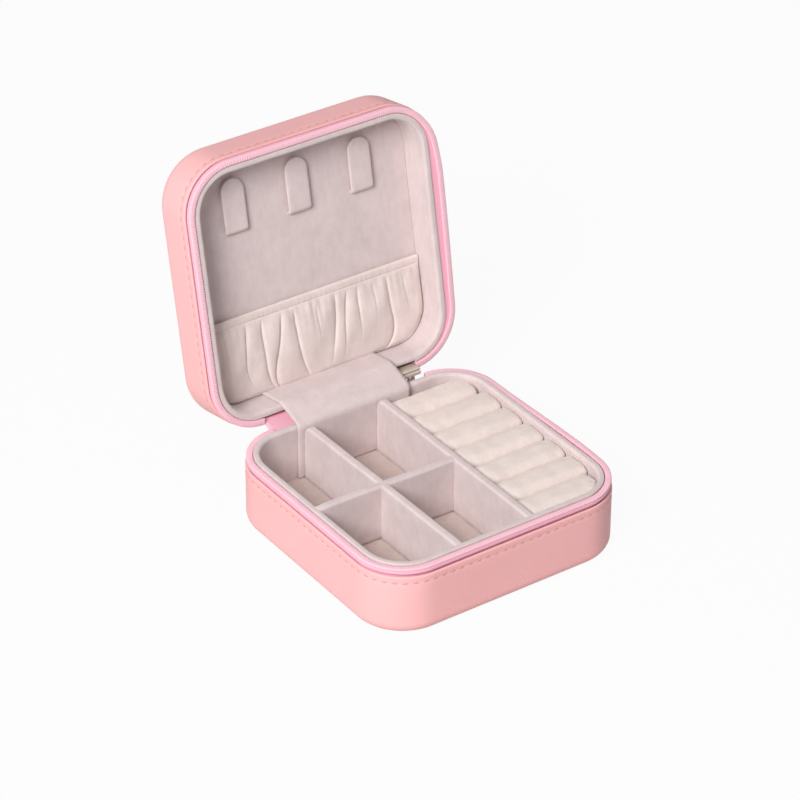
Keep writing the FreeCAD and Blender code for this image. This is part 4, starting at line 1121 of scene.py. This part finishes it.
def pocket_creases(x, half, down):
    """How deep the pocket's creases sink it. Each drifts from its place at the hem to its place at the seam,
    falls away from the cloth's level by a power of e on both sides, one side steeper, lies in a wider and
    shallower bell curve, and fades out on its way down. Those that meet are joined as the root of the sum of
    their squares."""
    case = sizes()
    drift_size, steeper, fading, shallow, wider = 0.012, 1.6, 0.09, 0.25, 3
    start = np.clip((down - 0.03) / 0.17, 0, 1)
    sunk = np.zeros(x.shape)
    for number, (hem, seam, sharp, deep) in enumerate(CREASES):
        drift = hem + (seam - hem) * down + drift_size * np.sin(5 * down + 2.1 * number)
        aside = (x - half * drift) / case.crease_width
        steep = np.where(aside * (-1) ** number > 0, steeper, 1.0)
        depth = case.crease_depth * deep / (1 + np.exp((down - sharp) / fading))
        sunk = np.hypot(sunk, depth * np.exp(-np.abs(aside) * steep) * start ** 0.7)
        sunk = np.hypot(sunk, shallow * depth * np.exp(-(aside / wider) ** 2) * start)
    return sunk


def make_pocket():
    """Gathered pocket: a grid over its width and height that stands out from the lid's panel. The cloth
    bellies out between hem and seam, is puckered below the hem by two sines of uneven pitch, sinks at its
    creases and is tucked in at the seam."""
    case = sizes()
    low, high = shut_box("pocket")
    face = shut_box("lid_panel")[0][2]
    under_hem, past_seam, wall = 0.5 * MM, 0.9 * MM, 5.5 * MM
    hem_stand, seam_stand, least, tucked = 1.8 * MM, 1.3 * MM, 0.75 * MM, 0.55 * MM
    pucker_size, crumple_size, full_size, cloth_thick = 0.16 * MM, 0.14 * MM, 0.35 * MM, 0.4 * MM
    across = np.linspace(-1, 1, 460)[:, None]
    down = np.linspace(1, 0, 80)[None]
    top, bottom = low[1] - under_hem, high[1] + past_seam
    y = top + (bottom - top) * down + 0.0 * across
    half = case_plan().half_width(y, wall)
    x = half * across
    gather = np.sin(across * 47 + 2.6 * np.sin(across * 13))
    gather = gather + 0.6 * np.sin(across * 83 + 2.0 * np.sin(across * 9))
    pucker = pucker_size * gather * np.exp(-down / 0.2) * np.clip(down / 0.06, 0, 1)
    crumple = crumple_size * np.sin(11 * across + 6 * down) * np.sin(math.pi * down)
    full = wobble(across * 6 + down * 2, full_size, 1.7) * np.sin(math.pi * down) ** 0.5
    belly = case.pocket_belly * np.sin(math.pi * down ** 0.8) ** 0.8
    ends = np.clip((1 - np.abs(across)) / 0.06, 0, 1) ** 0.6
    stand = hem_stand + (seam_stand - hem_stand) * down + (belly + full) * ends + pucker + crumple
    stand = np.maximum(stand - pocket_creases(x, half, down), least)
    tuck = np.clip((down - 0.93) / 0.07, 0, 1) ** 2
    stand = stand * (1 - tuck) + tucked * tuck
    cloth = surface("pocket_gathers", np.stack([x, y, face - stand], axis=-1), place=opened)
    thicken(cloth, cloth_thick, -1.0)
    dress(cloth, "lid", pocket_finish(), ["pocket"])
    hem = make_hem()


def make_hem():
    """Hem of the pocket: a flattened tube across the panel, a superellipse that is rippled where the elastic
    draws it up, with a shallow groove along its lower seam."""
    low, high = shut_box("pocket_hem")
    ripple_size, groove_depth, groove_at, groove_width = 0.045, 0.12, 0.86, 0.1
    across = np.linspace(low[0], high[0], 420)[:, None]
    turn = np.radians(np.arange(0, 360, 9))[None]
    flat, deep = superellipse(turn, 0.6, 0.9)
    at = across / MM
    ripple = np.sin(at * 4.1 + 1.6 * np.sin(at * 0.7)) + 0.8 * np.sin(at * 2.3 + 2.0 * np.sin(at * 0.31))
    groove = np.exp(-((flat - groove_at) / groove_width) ** 2)
    scale = 1 + ripple_size * ripple * (0.5 + 0.5 * (flat > 0)) - groove_depth * groove
    y = (low[1] + high[1]) / 2 + (high[1] - low[1]) / 2 * flat + 0.0 * across
    z = (low[2] + high[2]) / 2 - (high[2] - low[2]) / 2 * deep * scale
    grid = np.stack([across + 0.0 * y, y, z], axis=-1)[:, ::-1]
    hem = surface("pocket_hem_band", grid, wrap_columns=True, caps="rows", place=opened)
    return dress(hem, "lid", pocket_finish(), ["pocket_hem"])


def hinge_sheet(name, node, base_points, lid_points, radii, finish_made, thickness):
    """A strip of cloth across the hinge: a route of runs and arcs from the base to the open lid, the lid's
    points turned up with it, carried across the node's width."""
    low, high = node_box(node)
    width = low[0], high[0]
    lid = opened(np.array([[0.0, y, z] for y, z in lid_points]))
    route = rounded_route(list(base_points) + [tuple(point[1:]) for point in lid], radii, 0.5 * MM)
    x = np.linspace(width[1], width[0], 40)[None]
    sag = wobble(x / MM / 6, 0.12 * MM, len(name))
    y = route[:, None, 0] + 0.0 * x
    z = route[:, None, 1] + sag * np.sin(np.linspace(0, math.pi, len(route)))[:, None]
    strip = surface(name, np.stack(np.broadcast_arrays(x, y, z), axis=-1))
    thicken(strip, thickness, 0.0)
    dress(strip, "", finish_made, [node])
    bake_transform(strip)


def make_hinge():
    """Velvet cover inside the hinge and woven strip outside it. Each route's points are distances back and
    up, two on the base and two on the lid as it lies shut."""
    zip_plane = 26.4 * MM
    cover_y, cover_top = 42.85 * MM, 27.5 * MM
    cover_rim, cover_end = zip_plane + 0.95 * MM, zip_plane + 12.55 * MM
    strip_y, strip_top, strip_thick = 47.35 * MM, 23.9 * MM, 0.5 * MM
    strip_edge, strip_end = zip_plane + 2.5 * MM, zip_plane + 8.2 * MM
    hinge_sheet(
        "hinge_cover", "hinge_flap", [(cover_y, node_box("hinge_flap")[0][2]), (cover_y, cover_top)],
        [(cover_y, cover_rim), (cover_y, cover_end)], [2.5 * MM, 6.0 * MM],
        velvet_finish(), sizes().velvet)
    hinge_sheet(
        "hinge_strip", "hinge_spine", [(strip_y, node_box("hinge_spine")[0][2]), (strip_y, strip_top)],
        [(strip_y, strip_edge), (strip_y, strip_end)], [1.5 * MM, 1.5 * MM],
        tape_finish(), strip_thick)


def make_core():
    """Finishes of what lies inside the walls and the hem."""
    paint_nodes(board_finish(), "base_board", "lid_board")
    paint_nodes(foam_finish(), "base_floor_foam", "lid_foam")
    paint_nodes(elastic_finish(), "pocket_elastic")


# Stage


def make_floor():
    """A wide pale floor, a flat grid, that shows nearly white to the camera and keeps the case's shadow."""
    stage = bpy.context.scene.case_stage
    reach, white_share = 4.0, 0.95
    at = np.linspace(-reach, reach, 3)
    x, y = np.meshgrid(at, at, indexing="ij")
    floor = surface("floor", np.stack([x, y, np.full(x.shape, CAD_BOX[0][2])], axis=-1))
    made = bpy.data.materials.new("pale_floor")
    made.use_nodes = True
    tree = made.node_tree
    start = Signal(tree)
    matt = start.node("ShaderNodeBsdfDiffuse", {}, {"Color": (*stage.floor, 1.0)})
    white = start.node("ShaderNodeEmission", {}, {"Color": WHITE, "Strength": 1.0})
    shown = start.node("ShaderNodeMixShader", {}, {0: seen_rays(start) * white_share, 1: matt, 2: white})
    start.feed(tree.nodes["Material Output"], {"Surface": shown})
    floor.data.materials.append(made)


def seen_rays(start):
    """One where a ray comes from the camera, a mirror or glass, and nought elsewhere."""
    path = start.node("ShaderNodeLightPath", out="Is Camera Ray")
    outs = path.socket.node.outputs
    seen = path + Signal(start.tree, outs["Is Glossy Ray"]) + Signal(start.tree, outs["Is Transmission Ray"])
    return seen.math("MINIMUM", seen, 1.0)


def make_lights():
    """One large soft lamp from the upper left, and even light from all round."""
    stage = bpy.context.scene.case_stage
    lamp = bpy.data.lights.new("key", "AREA")
    lamp.shape = "DISK"
    lamp.size = stage.key_size
    lamp.energy = stage.key
    place = Vector(stage.key_place)
    facing = (-place).to_track_quat("-Z", "Y").to_matrix().to_4x4()
    add_object("key", lamp).matrix_world = Matrix.Translation(place) @ facing
    world = bpy.data.worlds.new("studio")
    world.use_nodes = True
    tree = world.node_tree
    start = Signal(tree)
    fill = start.node("ShaderNodeBackground", {}, {"Color": WHITE, "Strength": stage.fill})
    white = start.node("ShaderNodeBackground", {}, {"Color": WHITE, "Strength": 1.0})
    shown = start.node("ShaderNodeMixShader", {}, {0: seen_rays(start), 1: fill, 2: white})
    start.feed(tree.nodes["World Output"], {"Surface": shown})
    bpy.context.scene.world = world


def make_camera():
    """Camera from its azimuth, elevation and roll: back points from the target to the camera, right lies
    level, and the roll turns right and up about back."""
    stage = bpy.context.scene.case_stage
    back = Vector((
        math.sin(stage.azimuth) * math.cos(stage.elevation),
        -math.cos(stage.azimuth) * math.cos(stage.elevation),
        math.sin(stage.elevation)))
    right = Vector((math.cos(stage.azimuth), math.sin(stage.azimuth), 0.0))
    up = back.cross(right)
    cosine, sine = math.cos(stage.roll), math.sin(stage.roll)
    turned_right = right * cosine + up * sine
    turned_up = up * cosine - right * sine
    camera = bpy.data.cameras.new("camera")
    camera.sensor_width = SENSOR_WIDTH
    camera.lens = stage.lens
    camera.clip_start = 0.05
    holder = add_object("camera", camera)
    place = Vector(stage.target) + back * stage.distance
    basis = Matrix((turned_right, turned_up, back)).transposed()
    holder.matrix_world = Matrix.Translation(place) @ basis.to_4x4()
    bpy.context.scene.camera = holder


# Operators


class CASE_OT_covers(Operator):
    """Make the leather skins of base and lid"""
    bl_idname = "case.covers"
    bl_label = "Leather Covers"

    def execute(self, context):
        make_covers()
        return {"FINISHED"}


class CASE_OT_stitches(Operator):
    """Sew the stitch lines along the leather's edges"""
    bl_idname = "case.stitches"
    bl_label = "Stitches"

    def execute(self, context):
        make_stitches()
        return {"FINISHED"}


class CASE_OT_zip(Operator):
    """Make the zip's tapes and coils, and finish its metal"""
    bl_idname = "case.zip"
    bl_label = "Zip"

    def execute(self, context):
        make_zip()
        make_slider()
        return {"FINISHED"}


class CASE_OT_hinge(Operator):
    """Lay the cloth strips across the hinge"""
    bl_idname = "case.hinge"
    bl_label = "Hinge Cloth"

    def execute(self, context):
        make_hinge()
        return {"FINISHED"}


class CASE_OT_linings(Operator):
    """Line the walls, the floor and the lid's panel with velvet"""
    bl_idname = "case.linings"
    bl_label = "Velvet Linings"

    def execute(self, context):
        make_linings()
        return {"FINISHED"}


class CASE_OT_dividers(Operator):
    """Stand the velvet dividers in the base"""
    bl_idname = "case.dividers"
    bl_label = "Dividers"

    def execute(self, context):
        make_dividers()
        return {"FINISHED"}


class CASE_OT_rolls(Operator):
    """Lay the padded ring rolls in their bay"""
    bl_idname = "case.rolls"
    bl_label = "Ring Rolls"

    def execute(self, context):
        make_rolls()
        return {"FINISHED"}


class CASE_OT_hooks(Operator):
    """Fix the necklace hooks to the lid's panel"""
    bl_idname = "case.hooks"
    bl_label = "Necklace Hooks"

    def execute(self, context):
        make_hooks()
        return {"FINISHED"}


class CASE_OT_pocket(Operator):
    """Gather the pocket and its hem in the lid"""
    bl_idname = "case.pocket"
    bl_label = "Gathered Pocket"

    def execute(self, context):
        make_pocket()
        return {"FINISHED"}


class CASE_OT_core(Operator):
    """Finish the boards, foams and elastic inside the walls"""
    bl_idname = "case.core"
    bl_label = "Boards and Foam"

    def execute(self, context):
        make_core()
        return {"FINISHED"}


class CASE_OT_stage(Operator):
    """Set the floor, the lights and the camera"""
    bl_idname = "case.stage"
    bl_label = "Stage"

    def execute(self, context):
        make_floor()
        make_lights()
        make_camera()
        context.scene.view_settings.view_transform = "Standard"
        return {"FINISHED"}


OPERATORS = (
    CASE_OT_covers, CASE_OT_stitches, CASE_OT_zip, CASE_OT_hinge, CASE_OT_linings, CASE_OT_dividers,
    CASE_OT_rolls, CASE_OT_hooks, CASE_OT_pocket, CASE_OT_core, CASE_OT_stage)


class CASE_PT_panel(Panel):
    """Sizes, colours and makers of the jewellery case"""
    bl_idname = "CASE_PT_panel"
    bl_label = "Jewellery Case"
    bl_space_type = "VIEW_3D"
    bl_region_type = "UI"
    bl_category = "Case"

    def draw(self, context):
        for group in (context.scene.case_sizes, context.scene.case_colours, context.scene.case_stage):
            box = self.layout.box()
            for name in group.__annotations__:
                box.prop(group, name)
        for operator in OPERATORS:
            self.layout.operator(operator.bl_idname)


GROUPS = {"case_sizes": CaseSizes, "case_colours": CaseColours, "case_stage": CaseStage}


def register():
    for made in (*GROUPS.values(), *OPERATORS, CASE_PT_panel):
        bpy.utils.register_class(made)
    for name, group in GROUPS.items():
        setattr(bpy.types.Scene, name, PointerProperty(type=group))


def unregister():
    for name in GROUPS:
        delattr(bpy.types.Scene, name)
    for made in (CASE_PT_panel, *reversed(OPERATORS), *reversed(GROUPS.values())):
        bpy.utils.unregister_class(made)


def main():
    register()
    for operator in OPERATORS:
        group, name = operator.bl_idname.split(".")
        getattr(getattr(bpy.ops, group), name)()


if __name__ == "__main__":
    main()
